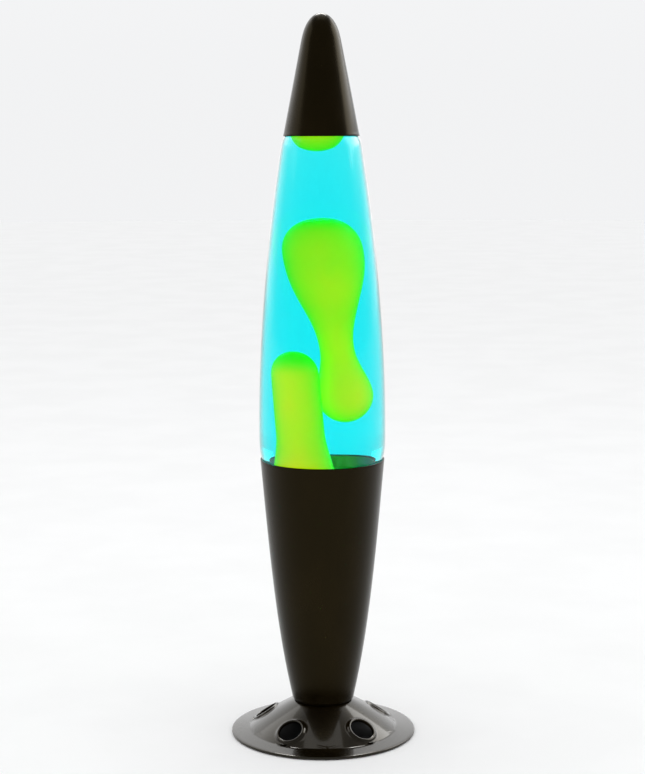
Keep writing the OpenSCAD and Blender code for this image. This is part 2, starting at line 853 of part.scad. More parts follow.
module crown_cap() {
  color([0.8, 0.78, 0.7])
    rotate_extrude()
      polygon([
        [0, mouth_z + liner_t],
        [mouth_r - 0.6, mouth_z + liner_t],
        [mouth_r + 0.3, mouth_z - 0.4],
        [mouth_r + 0.3, mouth_z - 3.4],
        [crown_r - crown_t, crown_z],
        [crown_r, crown_z],
        [mouth_r + 0.3 + crown_t, mouth_z - 3.4],
        [mouth_r + 0.3 + crown_t, mouth_z],
        [mouth_r - 0.5, mouth_z + liner_t + crown_t],
        [0, mouth_z + liner_t + crown_t]
      ]);
}

module cap() {
  tip_z = top_z - tip_h;
  edge = cap_t / 2;
  outer_z = concat(heights(cap_z + 1.5, tip_z, 8), [for (a = heights(8, 88, 10)) tip_z + tip_h * sin(a)]);
  inner_z = [for (z = outer_z) if (z < top_z - 1.5) z];
  last = inner_z[len(inner_z) - 1];
  color([0.07, 0.06, 0.05])
    rotate_extrude()
      polygon(concat(
        [for (a = heights(180, 360, 6)) [cap_r0 - edge + edge * cos(a), cap_z + edge + edge * sin(a)]],
        [for (z = outer_z) [cap_side(z), z]],
        [[0, top_z], [0, top_z - 1.3]],
        [for (i = [len(inner_z) - 1:-1:0]) [cap_side(inner_z[i] + 0.4) - cap_t, inner_z[i]]]
      ));
}

foot();
foot_pad();
lead_bush();
holder();
nipple();
lock_washer();
lock_nut();
floor_washer();
socket_entry_cap();
grub_screw();
contact_carrier();
terminals();
terminal_screws();
centre_contact();
screw_shell();
socket_body();
bulb_tip();
bulb_insulator();
bulb_screw_cap();
bulb_glass();
bulb_stem();
bulb_leads();
filament();
bottle();
fluid();
wire_coil();
wax_pool();
wax_lump();
wax_drop();
crown_liner();
crown_cap();
cap();
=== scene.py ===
# Lava lamp: the looks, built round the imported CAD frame.
# Outlines are (radius, height) in millimetres and become metres as each mesh is made.
import math
import bmesh
import bpy
from mathutils import Matrix, Vector, noise


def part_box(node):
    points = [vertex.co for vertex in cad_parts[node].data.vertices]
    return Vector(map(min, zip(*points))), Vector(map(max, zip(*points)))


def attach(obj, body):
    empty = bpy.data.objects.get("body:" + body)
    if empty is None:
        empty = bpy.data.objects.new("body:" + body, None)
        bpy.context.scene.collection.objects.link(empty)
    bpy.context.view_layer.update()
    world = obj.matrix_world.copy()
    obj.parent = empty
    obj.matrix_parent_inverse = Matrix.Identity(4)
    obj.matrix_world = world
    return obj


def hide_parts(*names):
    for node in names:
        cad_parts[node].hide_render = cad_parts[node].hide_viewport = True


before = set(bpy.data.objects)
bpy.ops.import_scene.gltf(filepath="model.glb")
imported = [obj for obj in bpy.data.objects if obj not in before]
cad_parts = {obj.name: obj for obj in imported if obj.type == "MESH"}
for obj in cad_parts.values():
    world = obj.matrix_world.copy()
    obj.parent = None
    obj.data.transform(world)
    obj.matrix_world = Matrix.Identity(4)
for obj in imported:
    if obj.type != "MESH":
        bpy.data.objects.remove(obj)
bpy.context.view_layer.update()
MM = 0.001
noise.seed_set(1)  # without a seed the clock picks one, and the wax is uneven in another way


def box_mm(node):
    low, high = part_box(node)
    return low / MM, high / MM


# ---- Sizes, from the frame and from the shapes' own proportions ----

_, foot_high = box_mm("foot")
_, holder_high = box_mm("holder")
bottle_low, bottle_high = box_mm("bottle")
fluid_low, fluid_high = box_mm("fluid")
cap_low, cap_high = box_mm("cap")
crown_low, crown_high = box_mm("crown_cap")
_, socket_high = box_mm("socket_body")
shell_low, shell_high = box_mm("screw_shell")
screw_low, screw_high = box_mm("bulb_screw_cap")
bulb_low, bulb_high = box_mm("bulb_glass")
nipple_low, nipple_high = box_mm("nipple")
_, carrier_high = box_mm("contact_carrier")
nut_low, nut_high = box_mm("lock_nut")
entry_low, entry_high = box_mm("socket_entry_cap")
bush_low, bush_high = box_mm("lead_bush")
_, pad_high = box_mm("foot_pad")
drop_low, drop_high = box_mm("wax_drop")
_, pool_high = box_mm("wax_pool")
lump_low, lump_high = box_mm("wax_lump")
coil_low, coil_high = box_mm("wire_coil")
filament_low, filament_high = box_mm("filament")

FOOT_R, FOOT_TOP = foot_high.x, foot_high.z
FLANGE_W, FOOT_T = 10.5, 0.9
CREASE_R, CREASE_H = FOOT_R - FLANGE_W, 3.0
RIM_EDGE_H, DOME_BULGE = 1.8, 0.7
TUBE_HOLE_R = nipple_high.x + 0.05
VENT_R, VENT_HOLE_R, VENT_TURN = CREASE_R - 8.0, 6.8, 3.5
BEAD_AT, BEAD_R, BEAD_SUNK = 7.55, 1.1, 0.25
BUSH_FLANGE = 1.0
DRAUGHT_HOLES, DRAUGHT_R, DRAUGHT_RING_R = 6, 1.5, 11.75

RIM_Z, RIM_R = holder_high.z, holder_high.x
HOLDER_H = RIM_Z - FOOT_TOP
HOLDER_BASE_R, HOLDER_TAPER, HOLDER_CURVE = 17.1, 12.2, 3.5
HOLDER_T, FLOOR_CORNER = 0.8, 2.6
FOOT_NECK_R = HOLDER_BASE_R - 0.6

CAP_Z, CAP_R, CAP_T, TOP_Z = cap_low.z, cap_high.x, 0.7, cap_high.z
CAP_TIP_R, TIP_H, TIP_CURVE = 8.1, 18.0, 3.5

SEAT_GAP = 0.15
BASE_Z, BOTTLE_R, GLASS_T = bottle_low.z, bottle_high.x, 2.2
BASE_CORNER, PUNT_H = 5.0, 3.0
INNER_BASE_Z = BASE_Z + 3.0
WIDEST_H = 18.0
WIDEST_Z = RIM_Z + WIDEST_H
SEAT_R = RIM_R - HOLDER_T - SEAT_GAP
SHOULDER_R, GLASS_TOP_R = CAP_R - CAP_T - SEAT_GAP, CAP_R + 0.2
MOUTH_Z, MOUTH_R, MOUTH_BORE_R = bottle_high.z, 13.1, 8.5
NECK_R, NECK_Z = MOUTH_R - 0.9, crown_low.z - 3.0
FLUID_Z, POOL_TOP = fluid_high.z, fluid_low.z
GLASS_BITE = 0.12

# The wax: the drop's lobe, neck and head, each with how far up the drop it is
DROP_L, DROP_PLACE, DROP_LEAN = 113.6, (10.6, 5), -6.3
LOBE_R, LOBE_AT = 11.3, 14
WAIST_R, WAIST_AT = 6.8, 41
HEAD_R, HEAD_L, HEAD_CURVE = 16.1, 22, 2.3
HEAD_AT = DROP_L - HEAD_L
COLUMN_FOOT_R, COLUMN_R, COLUMN_DOME_H = 15.5, 11.0, 13
COLUMN_PLACE, COLUMN_LEAN = (-7.4, -5), -4.3


def holder_side(z):
    u = (RIM_Z - z) / HOLDER_H
    curved_in = RIM_R - HOLDER_BASE_R - HOLDER_TAPER
    return RIM_R - HOLDER_TAPER * u - curved_in * max(u, 0) ** HOLDER_CURVE


def dome_z(r):
    t = (CREASE_R - r) / (CREASE_R - FOOT_NECK_R)
    return CREASE_H + (FOOT_TOP - CREASE_H) * t + DOME_BULGE * 4 * t * (1 - t)


def bottle_side(z):
    if z < RIM_Z:
        return holder_side(z) - HOLDER_T - SEAT_GAP - 1.6 * (RIM_Z - z) / (RIM_Z - BASE_Z)
    if z < WIDEST_Z:
        return BOTTLE_R - (BOTTLE_R - SEAT_R) * ((WIDEST_Z - z) / WIDEST_H) ** 4
    if z < CAP_Z:
        lip = max(0, (z - CAP_Z + 4) / 4)
        rise = ((z - WIDEST_Z) / (CAP_Z - WIDEST_Z)) ** 1.87
        return BOTTLE_R - (BOTTLE_R - GLASS_TOP_R) * rise - (GLASS_TOP_R - SHOULDER_R) * lip * lip
    turn = min(1, (z - CAP_Z) / (NECK_Z - CAP_Z))
    return SHOULDER_R - (SHOULDER_R - NECK_R) * math.sin(math.pi / 2 * turn)


def cap_side(z):
    t = max(0, (z - TOP_Z + TIP_H) / TIP_H)
    cone = CAP_R - (CAP_R - CAP_TIP_R) / (TOP_Z - CAP_Z) * (z - CAP_Z)
    return cone * math.sqrt(max(0, 1 - t**TIP_CURVE))


def span(a, b, n):
    return [a + (b - a) * i / n for i in range(n + 1)]


def ease(t):
    t = min(1, max(0, t))
    return t * t * (3 - 2 * t)


# ---- Meshes ----


def rounded(corners, closed=True, steps=4):
    """An outline of (radius, height, rounding) points with its corners rounded off."""
    out, n = [], len(corners)
    for i, corner in enumerate(corners):
        point, rounding = Vector(corner[:2]), corner[2]
        if rounding <= 0 or (not closed and i in (0, n - 1)):
            out.append(tuple(point))
            continue
        back = Vector(corners[i - 1][:2]) - point
        ahead = Vector(corners[(i + 1) % n][:2]) - point
        half = back.angle(ahead) / 2
        reach = min(rounding / math.tan(half), back.length * 0.48, ahead.length * 0.48)
        a, b = point + back.normalized() * reach, point + ahead.normalized() * reach
        for t in span(0, 1, steps):
            out.append(tuple(a * (1 - t) ** 2 + point * 2 * t * (1 - t) + b * t * t))
    return out


def turned(outline, segments=160, warp=None, closed=True):
    """The vertices and faces of an outline turned round Z.

    warp(r, z, angle) may shift each point."""
    verts, rings = [], []
    for r, z in outline:
        if r < 1e-4:
            rings.append([len(verts)] * segments)
            verts.append((0, 0, z))
            continue
        rings.append(list(range(len(verts), len(verts) + segments)))
        for k in range(segments):
            a = math.tau * k / segments
            rr, zz = warp(r, z, a) if warp else (r, z)
            verts.append((rr * math.cos(a), rr * math.sin(a), zz))
    faces = []
    for low, high in zip(rings, rings[1:] + rings[:1] if closed else rings[1:]):
        for k in range(segments):
            n = (k + 1) % segments
            face = list(dict.fromkeys([low[k], low[n], high[n], high[k]]))
            if len(face) > 2:
                faces.append(face)
    return verts, faces


def tube(path, radius, sides=8, closed=False):
    """The vertices and faces of a round wire along a path of points."""
    points = [Vector(p) for p in path]
    n = len(points)
    side = (points[1] - points[0]).orthogonal().normalized()
    verts = []
    for i, point in enumerate(points):
        before, after = (points[i - 1], points[(i + 1) % n]) if closed else (
            points[max(i - 1, 0)], points[min(i + 1, n - 1)])
        along = (after - before).normalized()
        side = (side - along * side.dot(along)).normalized()
        up = along.cross(side)
        for k in range(sides):
            a = math.tau * k / sides
            verts.append(point + (side * math.cos(a) + up * math.sin(a)) * radius)
    faces = []
    for i in range(n if closed else n - 1):
        j = (i + 1) % n
        for k in range(sides):
            m = (k + 1) % sides
            faces.append([i * sides + k, i * sides + m, j * sides + m, j * sides + k])
    if not closed:
        faces.append(list(range(sides - 1, -1, -1)))
        faces.append([(n - 1) * sides + k for k in range(sides)])
    return verts, faces


def mesh_object(name, parts):
    """An object in the scene, made of (vertices, faces) parts in millimetres."""
    verts, faces = [], []
    for part_verts, part_faces in parts:
        faces += [[v + len(verts) for v in face] for face in part_faces]
        verts += [Vector(v) * MM for v in part_verts]
    mesh = bpy.data.meshes.new(name)
    mesh.from_pydata(verts, [], faces)
    obj = bpy.data.objects.new(name, mesh)
    bpy.context.scene.collection.objects.link(obj)
    return obj


def piece(name, parts, body, stands_for, materials, sharp=38):
    """A mesh object that rides on a body and stands for CAD nodes."""
    obj = mesh_object(name, parts)
    for m in materials:
        obj.data.materials.append(m)
    tidy(obj, sharp)
    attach(obj, body)
    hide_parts(*stands_for)
    return obj


def tidy(obj, sharp):
    """Welds seams, turns the faces outwards and shades the mesh smooth up to the sharp angle."""
    bm = bmesh.new()
    bm.from_mesh(obj.data)
    bmesh.ops.remove_doubles(bm, verts=bm.verts, dist=2e-6)
    bmesh.ops.recalc_face_normals(bm, faces=bm.faces)
    bm.to_mesh(obj.data)
    bm.free()
    obj.data.shade_smooth()
    obj.data.set_sharp_from_angle(angle=math.radians(sharp))


def paint_where(obj, index, test):
    """Gives the faces whose centre (mm) passes the test the material of that index."""
    for face in obj.data.polygons:
        if test(face.center / MM):
            face.material_index = index


def cut(obj, cutters, sharp):
    """Cuts solid parts out of a solid piece, for good."""
    tool = mesh_object("cutter", cutters)
    tidy(tool, sharp)
    step = obj.modifiers.new("cut", "BOOLEAN")
    step.operation, step.solver, step.object = "DIFFERENCE", "EXACT", tool
    apply_all(obj)
    bpy.data.objects.remove(tool)
    obj.data.set_sharp_from_angle(angle=math.radians(sharp))


def relax(obj, test, times, axes="xyz"):
    """Smooths the vertices that pass the test (mm), along those axes only."""
    bm = bmesh.new()
    bm.from_mesh(obj.data)
    loose = [v for v in bm.verts if test(v.co / MM)]
    for _ in range(times):
        bmesh.ops.smooth_vert(bm, verts=loose, factor=0.5, use_axis_x="x" in axes,
                              use_axis_y="y" in axes, use_axis_z="z" in axes)
    bm.to_mesh(obj.data)
    bm.free()


def apply_all(obj):
    """Turns the piece's modifiers into its mesh."""
    graph = bpy.context.evaluated_depsgraph_get()
    made = bpy.data.meshes.new_from_object(obj.evaluated_get(graph))
    obj.modifiers.clear()
    obj.data = made


def placed(part, matrix):
    verts, faces = part
    return [matrix @ Vector(v) for v in verts], faces


# ---- Materials ----


def map_range(tree, low, high, to_low, to_high):
    """A smooth ramp node, whose value is still to be linked."""
    node = tree.nodes.new("ShaderNodeMapRange")
    node.interpolation_type = "SMOOTHSTEP"
    for socket, number in (("From Min", low), ("From Max", high),
                           ("To Min", to_low), ("To Max", to_high)):
        node.inputs[socket].default_value = number
    return node


class Shader:
    """A Principled material under construction, with the node chains that the materials share."""

    def __init__(self, name, colour, roughness, metallic=0.0, **sockets):
        self.material = bpy.data.materials.new(name)
        self.material.use_nodes = True
        self.tree = self.material.node_tree
        self.shader = next(n for n in self.tree.nodes if n.type == "BSDF_PRINCIPLED")
        self.place = self.tree.nodes.new("ShaderNodeTexCoord").outputs["Object"]
        self.set("Base Color", (*colour, 1))
        self.set("Roughness", roughness)
        self.set("Metallic", metallic)
        for socket, value in sockets.items():
            self.set(socket.replace("_", " "), value)

    def set(self, socket, value):
        self.shader.inputs[socket].default_value = value

    def add(self, kind, **inputs):
        node = self.tree.nodes.new(kind)
        for socket, value in inputs.items():
            self.feed(node, socket.replace("_", " "), value)
        return node

    def feed(self, node, socket, value):
        if isinstance(value, bpy.types.NodeSocket):
            self.tree.links.new(value, node.inputs[socket])
        else:
            node.inputs[socket].default_value = value

    def mm(self, z=1):
        """Object coordinates in millimetres, the heights taken times z."""
        node = self.add("ShaderNodeVectorMath", Vector=self.place)
        node.operation = "MULTIPLY"
        node.inputs[1].default_value = (1 / MM, 1 / MM, z / MM)
        return node.outputs["Vector"]

    def height(self):
        return self.add("ShaderNodeSeparateXYZ", Vector=self.mm()).outputs["Z"]

    def spun(self, factor):
        """Coordinates that are the same all round Z, for grooves left by spinning."""
        parts = self.add("ShaderNodeSeparateXYZ", Vector=self.mm())
        flat = self.add("ShaderNodeCombineXYZ", X=parts.outputs["X"], Y=parts.outputs["Y"])
        radius = self.add("ShaderNodeVectorMath", Vector=flat.outputs["Vector"])
        radius.operation = "LENGTH"
        out = self.add("ShaderNodeCombineXYZ", X=radius.outputs["Value"], Z=parts.outputs["Z"])
        scale = self.add("ShaderNodeVectorMath", Vector=out.outputs["Vector"])
        scale.operation = "SCALE"
        scale.inputs["Scale"].default_value = factor
        return scale.outputs["Vector"]

    def noise(self, vector, scale=1.0, detail=3.0, roughness=0.55, distortion=0.0):
        node = self.add("ShaderNodeTexNoise", Vector=vector, Scale=scale, Detail=detail,
                        Roughness=roughness, Distortion=distortion)
        return node.outputs["Fac"]

    def ramp(self, value, low, high, to_low, to_high):
        node = map_range(self.tree, low, high, to_low, to_high)
        self.feed(node, "Value", value)
        return node.outputs["Result"]

    def mix(self, factor, a, b):
        node = self.tree.nodes.new("ShaderNodeMix")
        node.data_type = "RGBA"
        self.feed(node, "Factor", factor)
        for socket, value in ((node.inputs[6], a), (node.inputs[7], b)):
            if isinstance(value, bpy.types.NodeSocket):
                self.tree.links.new(value, socket)
            else:
                socket.default_value = (*value, 1)
        return node.outputs[2]

    def math(self, operation, a, b):
        node = self.tree.nodes.new("ShaderNodeMath")
        node.operation = operation
        self.feed(node, 0, a)
        self.feed(node, 1, b)
        return node.outputs["Value"]

    def bump(self, height, depth, strength=1.0, under=None):
        """Bumps of that depth in millimetres, on top of any bumps already there."""
        node = self.add("ShaderNodeBump", Height=height, Strength=strength, Distance=depth * MM)
        if under is not None:
            self.feed(node, "Normal", under)
        self.feed(self.shader, "Normal", node.outputs["Normal"])
        return node.outputs["Normal"]

    def link(self, socket, value):
        self.feed(self.shader, socket, value)


def painted(name, worn, coat=0.0):
    """Warm black lacquer over metal, with orange peel and faint handling marks.

    worn(shader) gives where the paint is worn."""
    deep, middle, faded = (0.003, 0.0018, 0.0004), (0.004, 0.0024, 0.0006), (0.0055, 0.0034, 0.0009)
    s = Shader(name, middle, 0.3, Specular_IOR_Level=0.15, Specular_Tint=(1, 0.8, 0.4, 1),
               Coat_Weight=coat, Coat_Roughness=0.08)
    fine = s.noise(s.mm(), 1.6, 2)
    broad = s.noise(s.mm(z=0.45), 0.05, 4)
    marks = s.noise(s.mm(z=0.12), 2.4, 2, distortion=0.6)
    s.link("Base Color", s.mix(s.ramp(broad, 0.35, 0.7, 0, 1), deep, faded))
    satin = s.ramp(broad, 0.3, 0.7, 0.2, 0.28)
    s.link("Roughness", s.math("ADD", satin, s.ramp(marks, 0.66, 0.8, 0, 0.1)))
    chips = s.ramp(s.noise(s.mm(), 0.9, 5), 0.56, 0.66, 0, 1)
    wear = s.math("MULTIPLY", worn(s), chips)
    s.link("Metallic", s.math("MULTIPLY", wear, 0.5))
    peel = s.bump(fine, 0.02, 0.35)
    s.bump(s.math("MULTIPLY", wear, -1.0), 0.03, 0.5, peel)
    return s.material


def height_band(s, low, high, soft):
    """1 between two heights (mm), falling off over soft on each side."""
    z = s.height()
    return s.math("MULTIPLY", s.ramp(z, low - soft, low, 0, 1), s.ramp(z, high, high + soft, 1, 0))


def metal(name, bright, dull, roughness, spin=0.0, depth=0.01):
    """Bare metal: two shades wandering into each other, grainy, or grooved where it was spun."""
    s = Shader(name, bright, roughness, 1.0)
    cloud = s.noise(s.mm(), 0.35, 4)
    s.link("Base Color", s.mix(s.ramp(cloud, 0.35, 0.65, 0, 1), bright, dull))
    grain = s.noise(s.spun(spin), 1.0, 4, 0.7) if spin else s.noise(s.mm(), 2.2, 4, 0.7)
    s.link("Roughness", s.ramp(grain, 0.25, 0.75, roughness * 0.75, min(1, roughness * 1.35)))
    s.bump(grain, depth, 0.5)
    return s.material


def moulded(name, colour, shade, roughness, grain=1.2, depth=0.02, **sockets):
    """Plain moulded, fired or cast stuff with a fine surface grain and slightly uneven colour."""
    s = Shader(name, colour, roughness, 0.0, **sockets)
    cloud = s.noise(s.mm(), 0.22, 4)
    fine = s.noise(s.mm(), grain, 3)
    s.link("Base Color", s.mix(s.ramp(cloud, 0.35, 0.68, 0, 1), colour, shade))
    s.link("Roughness", s.ramp(fine, 0.3, 0.7, roughness * 0.85, min(1, roughness * 1.15)))
    s.bump(fine, depth, 0.5)
    return s.material


def clear_glass(name, tint, edge, waviness=0.05, roughness=0.0, IOR=1.5, **sockets):
    """Clear blown glass: gently wavy, a trace of haze, and darker where it is seen edge-on."""
    s = Shader(name, tint, roughness, 0.0, Transmission_Weight=1.0, IOR=IOR, **sockets)
    grazing = s.add("ShaderNodeLayerWeight", Blend=0.5).outputs["Facing"]
    s.link("Base Color", s.mix(s.ramp(grazing, 0.6, 0.82, 0, 1), tint, edge))
    wave = s.noise(s.mm(z=0.35), 0.06, 2)
    haze = s.noise(s.mm(z=0.5), 0.12, 5)
    s.link("Roughness", s.ramp(haze, 0.58, 0.78, roughness, roughness + 0.035))
    s.bump(wave, waviness, 0.3)
    return s.material


def liquid():
    """Clear cyan liquid, which takes the red out of what shines through it."""
    s = Shader("cyan_liquid", (1, 1, 1), 0.0, Transmission_Weight=1.0, IOR=1.333,
               Specular_Tint=(0.1, 0.1, 0.1, 1))
    drift = s.noise(s.mm(z=0.3), 0.08, 2)
    s.bump(drift, 0.05, 0.15)
    absorption = s.tree.nodes.new("ShaderNodeVolumeAbsorption")
    absorption.inputs["Color"].default_value = (0.0, 0.985, 1.0, 1)
    absorption.inputs["Density"].default_value = 92
    output = next(n for n in s.tree.nodes if n.type == "OUTPUT_MATERIAL")
    s.tree.links.new(absorption.outputs["Volume"], output.inputs["Volume"])
    return s.material


def glowing_wax(name, bands):
    """Soft wax with the bulb's light from below painted on as a glow, in bands of (height, colour),
    and painted shade making its upward faces greener.

    The liquid takes red out, so wax that lies deeper in it gives off more red to look the same."""
    s = Shader(name, (0.42, 0.62, 0.01), 0.42, 0.0, Specular_IOR_Level=0.2, Coat_Weight=1.0,
               Coat_Roughness=0.3, Coat_IOR=1.03, Coat_Tint=(0.5, 1, 0.6, 1))
    z = s.height()
    # Painted light: the emission stands in for the bulb's light on the wax, given colour by colour
    # up the height.
    painted_glow = bands[0][1]
    for (low, _), (high, colour) in zip(bands, bands[1:]):
        painted_glow = s.mix(s.ramp(z, low, high, 0, 1), painted_glow, colour)
    mottle = s.noise(s.mm(z=0.6), 0.07, 3, distortion=0.8)
    painted_glow = s.mix(s.ramp(mottle, 0.35, 0.65, 0, 0.14), painted_glow, (0.25, 0.235, 0.0))
    # Painted shade: faces turned up, away from the bulb below, glow greener and less red.
    facing = s.tree.nodes.new("ShaderNodeNewGeometry").outputs["Normal"]
    upward = s.add("ShaderNodeSeparateXYZ", Vector=facing).outputs["Z"]
    s.link("Emission Color", s.mix(s.ramp(upward, 0.45, 0.95, 0, 0.9), painted_glow, (0.04, 0.245, 0.0)))
    s.set("Emission Strength", 3.0)
    fine = s.noise(s.mm(), 0.5, 3)
    s.link("Roughness", s.ramp(fine, 0.3, 0.7, 0.35, 0.5))
    s.bump(mottle, 0.4, 0.3)
    return s.material


def floor_paper():
    """Pale paper with a painted shadow: near black within the foot, where only shade lies."""
    paper, grey, painted_shadow = (0.92, 0.92, 0.915), (0.9, 0.9, 0.895), (0.03, 0.03, 0.03)
    s = Shader("floor_paper", paper, 0.8, Specular_IOR_Level=0.2)
    cloud = s.noise(s.mm(), 0.01, 3)
    pale = s.mix(s.ramp(cloud, 0.35, 0.65, 0, 1), paper, grey)
    radius = s.add("ShaderNodeSeparateXYZ", Vector=s.spun(1.0)).outputs["X"]
    # Painted shadow: the paper inside the foot's crease is near black, so the vents show dark.
    s.link("Base Color", s.mix(s.ramp(radius, CREASE_R - 1, CREASE_R + 2, 0, 1), painted_shadow, pale))
    s.bump(s.noise(s.mm(), 0.4, 3), 0.02, 0.4)
    return s.material


FOOT_PAINT = painted("foot_paint", lambda s: height_band(s, 0.4, RIM_EDGE_H - 0.3, 0.3), 0.55)
HOLDER_PAINT = painted("holder_paint", lambda s: height_band(s, RIM_Z - 0.35, RIM_Z + 1, 0.4))
CAP_PAINT = painted("cap_paint", lambda s: height_band(s, CAP_Z - 1, CAP_Z + 0.3, 0.4))
BARE_ALUMINIUM = metal("bare_aluminium", (0.62, 0.62, 0.6), (0.48, 0.48, 0.46), 0.42, spin=2.5)
ZINC = metal("zinc_plate", (0.66, 0.66, 0.62), (0.55, 0.56, 0.58), 0.34)
BRASS = metal("brass", (0.83, 0.62, 0.28), (0.62, 0.44, 0.18), 0.28, spin=3.0)
TINPLATE = metal("tinplate", (0.82, 0.8, 0.74), (0.7, 0.68, 0.62), 0.24)
SOLDER = metal("solder", (0.56, 0.56, 0.54), (0.42, 0.42, 0.42), 0.4, depth=0.05)
TUNGSTEN = metal("tungsten", (0.42, 0.4, 0.38), (0.3, 0.28, 0.27), 0.4)
SILVERING = metal("reflector_silvering", (0.9, 0.9, 0.9), (0.82, 0.82, 0.84), 0.16, spin=0.6)
PORCELAIN = moulded("socket_white", (0.80, 0.78, 0.70), (0.72, 0.69, 0.6), 0.3, Coat_Weight=0.4)
RUBBER = moulded("black_rubber", (0.018, 0.018, 0.018), (0.03, 0.03, 0.03), 0.75, 2.5, 0.06)
LINER = moulded("liner_foam", (0.78, 0.78, 0.74), (0.7, 0.7, 0.65), 0.8, 2.0, 0.05)
BLACK_GLASS = moulded("black_vitrite", (0.012, 0.008, 0.014), (0.03, 0.02, 0.035), 0.12, 0.8, 0.05,
                      Coat_Weight=0.5)
BOTTLE_GLASS = clear_glass("bottle_glass", (0.95, 0.998, 0.998), (0.12, 0.5, 0.48), IOR=1.4,
                           Specular_Tint=(0.1, 0.1, 0.1, 1), Coat_Weight=1.0, Coat_Roughness=0.22,
                           Coat_IOR=1.2)
BULB_FRONT = clear_glass("bulb_front", (0.97, 0.97, 0.95), (0.9, 0.9, 0.88), 0.03, 0.32)
STEM_GLASS = clear_glass("stem_glass", (0.9, 0.96, 0.95), (0.7, 0.82, 0.8), 0.03, 0.02)
LIQUID = liquid()
# Painted glow by height for each piece of wax, with more red where more liquid lies in front; the
# tops of pool, column and drop fade towards green as painted shade, away from the bulb.
POOL_WAX = glowing_wax("lit_wax_pool", [
    (POOL_TOP - 0.5, (0.3, 0.2, 0)), (POOL_TOP + 3, (1.05, 0.2, 0)),
    (POOL_TOP + 45, (1.15, 0.205, 0)), (pool_high.z - 14, (0.95, 0.215, 0)),
    (pool_high.z - 4, (0.08, 0.24, 0))])
DROP_WAX = glowing_wax("lit_wax_drop", [
    (drop_low.z, (2.3, 0.2, 0)), (drop_low.z + LOBE_AT, (2.6, 0.2, 0)),
    (drop_low.z + WAIST_AT, (3.5, 0.225, 0)), (drop_low.z + 64, (1.95, 0.205, 0)),
    (drop_low.z + 92, (0.85, 0.2, 0)), (drop_high.z, (0.6, 0.205, 0))])
LUMP_WAX = glowing_wax("lit_wax_lump", [
    (lump_low.z, (0.28, 0.205, 0)), (lump_high.z, (0.42, 0.205, 0))])


# ---- Foot ----

SECTOR = math.tau / 5
SIDE_STEPS = 36


def vent_angle(i):
    return math.radians(-90 + VENT_TURN) + (i - 0.5) * SECTOR


def on_dome(angle, r):
    return Vector((r * math.cos(angle), r * math.sin(angle), dome_z(r)))


def sector_edge(middle):
    """Points (angle, radius) round the edge of a fifth of the dome, as many on each side."""
    low, high = middle - SECTOR / 2, middle + SECTOR / 2
    steps = range(SIDE_STEPS)
    edge = [(low + (high - low) * k / SIDE_STEPS, CREASE_R) for k in steps]
    edge += [(high, CREASE_R + (FOOT_NECK_R - CREASE_R) * k / SIDE_STEPS) for k in steps]
    edge += [(high + (low - high) * k / SIDE_STEPS, FOOT_NECK_R) for k in steps]
    edge += [(low, FOOT_NECK_R + (CREASE_R - FOOT_NECK_R) * k / SIDE_STEPS) for k in steps]
    return edge


# How a vent's bead stands off the dome, from outside in: (distance from the vent's axis, height)
VENT_LIP = [(9.9, 0), (9.2, 0.01), (8.8, 0.08)]
VENT_LIP += [(BEAD_AT + BEAD_R * math.cos(a), BEAD_R * math.sin(a) - BEAD_SUNK)
             for a in span(0.5, 2.35, 10)]
VENT_LIP += [(VENT_HOLE_R, 0.3), (VENT_HOLE_R, -0.9)]


def vent_sector(middle):
    """A fifth of the dome with a vent: quads from its edge in to a round, rolled bead."""
    edge = sector_edge(middle)
    centre = on_dome(middle, VENT_R)
    slope = (on_dome(middle, VENT_R + 0.5) - on_dome(middle, VENT_R - 0.5)).normalized()
    across = Vector((-math.sin(middle), math.cos(middle), 0))
    axis = slope.cross(across)
    rings, bend = [], VENT_LIP[0][0]

    def lip_point(phi, reach, rise):
        flat = centre + (slope * math.cos(phi) + across * math.sin(phi)) * reach
        r = math.hypot(flat.x, flat.y)
        curved = Vector((flat.x, flat.y, dome_z(r)))
        return flat.lerp(curved, ease((reach - VENT_HOLE_R) / (bend - VENT_HOLE_R))) + axis * rise

    phis = [math.atan2((a - middle) * VENT_R, r - VENT_R) for a, r in edge]
    for t in span(0, 1, 16)[:-1]:
        ring = []
        for (angle, r), phi in zip(edge, phis):
            inner = lip_point(phi, bend, 0)
            inner_r, inner_angle = math.hypot(inner.x, inner.y), math.atan2(inner.y, inner.x)
            turn = (inner_angle - angle + math.pi) % math.tau - math.pi
            ring.append(on_dome(angle + turn * t, r + (inner_r - r) * t))
        rings.append(ring)
    rings += [[lip_point(phi, reach, rise) for phi in phis] for reach, rise in VENT_LIP]
    n = len(edge)
    faces = []
    for i in range(len(rings) - 1):
        for k in range(n):
            m = (k + 1) % n
            faces.append([i * n + k, i * n + m, (i + 1) * n + m, (i + 1) * n + k])
    return [p for ring in rings for p in ring], faces


def plain_sector(middle):
    """A fifth of the dome without a vent."""
    angles = span(middle - SECTOR / 2, middle + SECTOR / 2, SIDE_STEPS)
    radii = span(CREASE_R, FOOT_NECK_R, SIDE_STEPS)
    verts = [on_dome(a, r) for r in radii for a in angles]
    w = len(angles)
    faces = [[i * w + k, i * w + k + 1, (i + 1) * w + k + 1, (i + 1) * w + k]
             for i in range(SIDE_STEPS) for k in range(SIDE_STEPS)]
    return verts, faces


def ring_part(outline):
    """A turned stretch of the foot whose points meet the dome's sectors."""
    turn = Matrix.Rotation(vent_angle(0) - SECTOR / 2, 4, "Z")
    return placed(turned(outline, 5 * SIDE_STEPS, closed=False), turn)


def lying(part, y, z):
    """A turned part laid down, its Z axis towards the front."""
    return placed(part, Matrix.Translation((0, y, z)) @ Matrix.Rotation(math.pi / 2, 4, "X"))


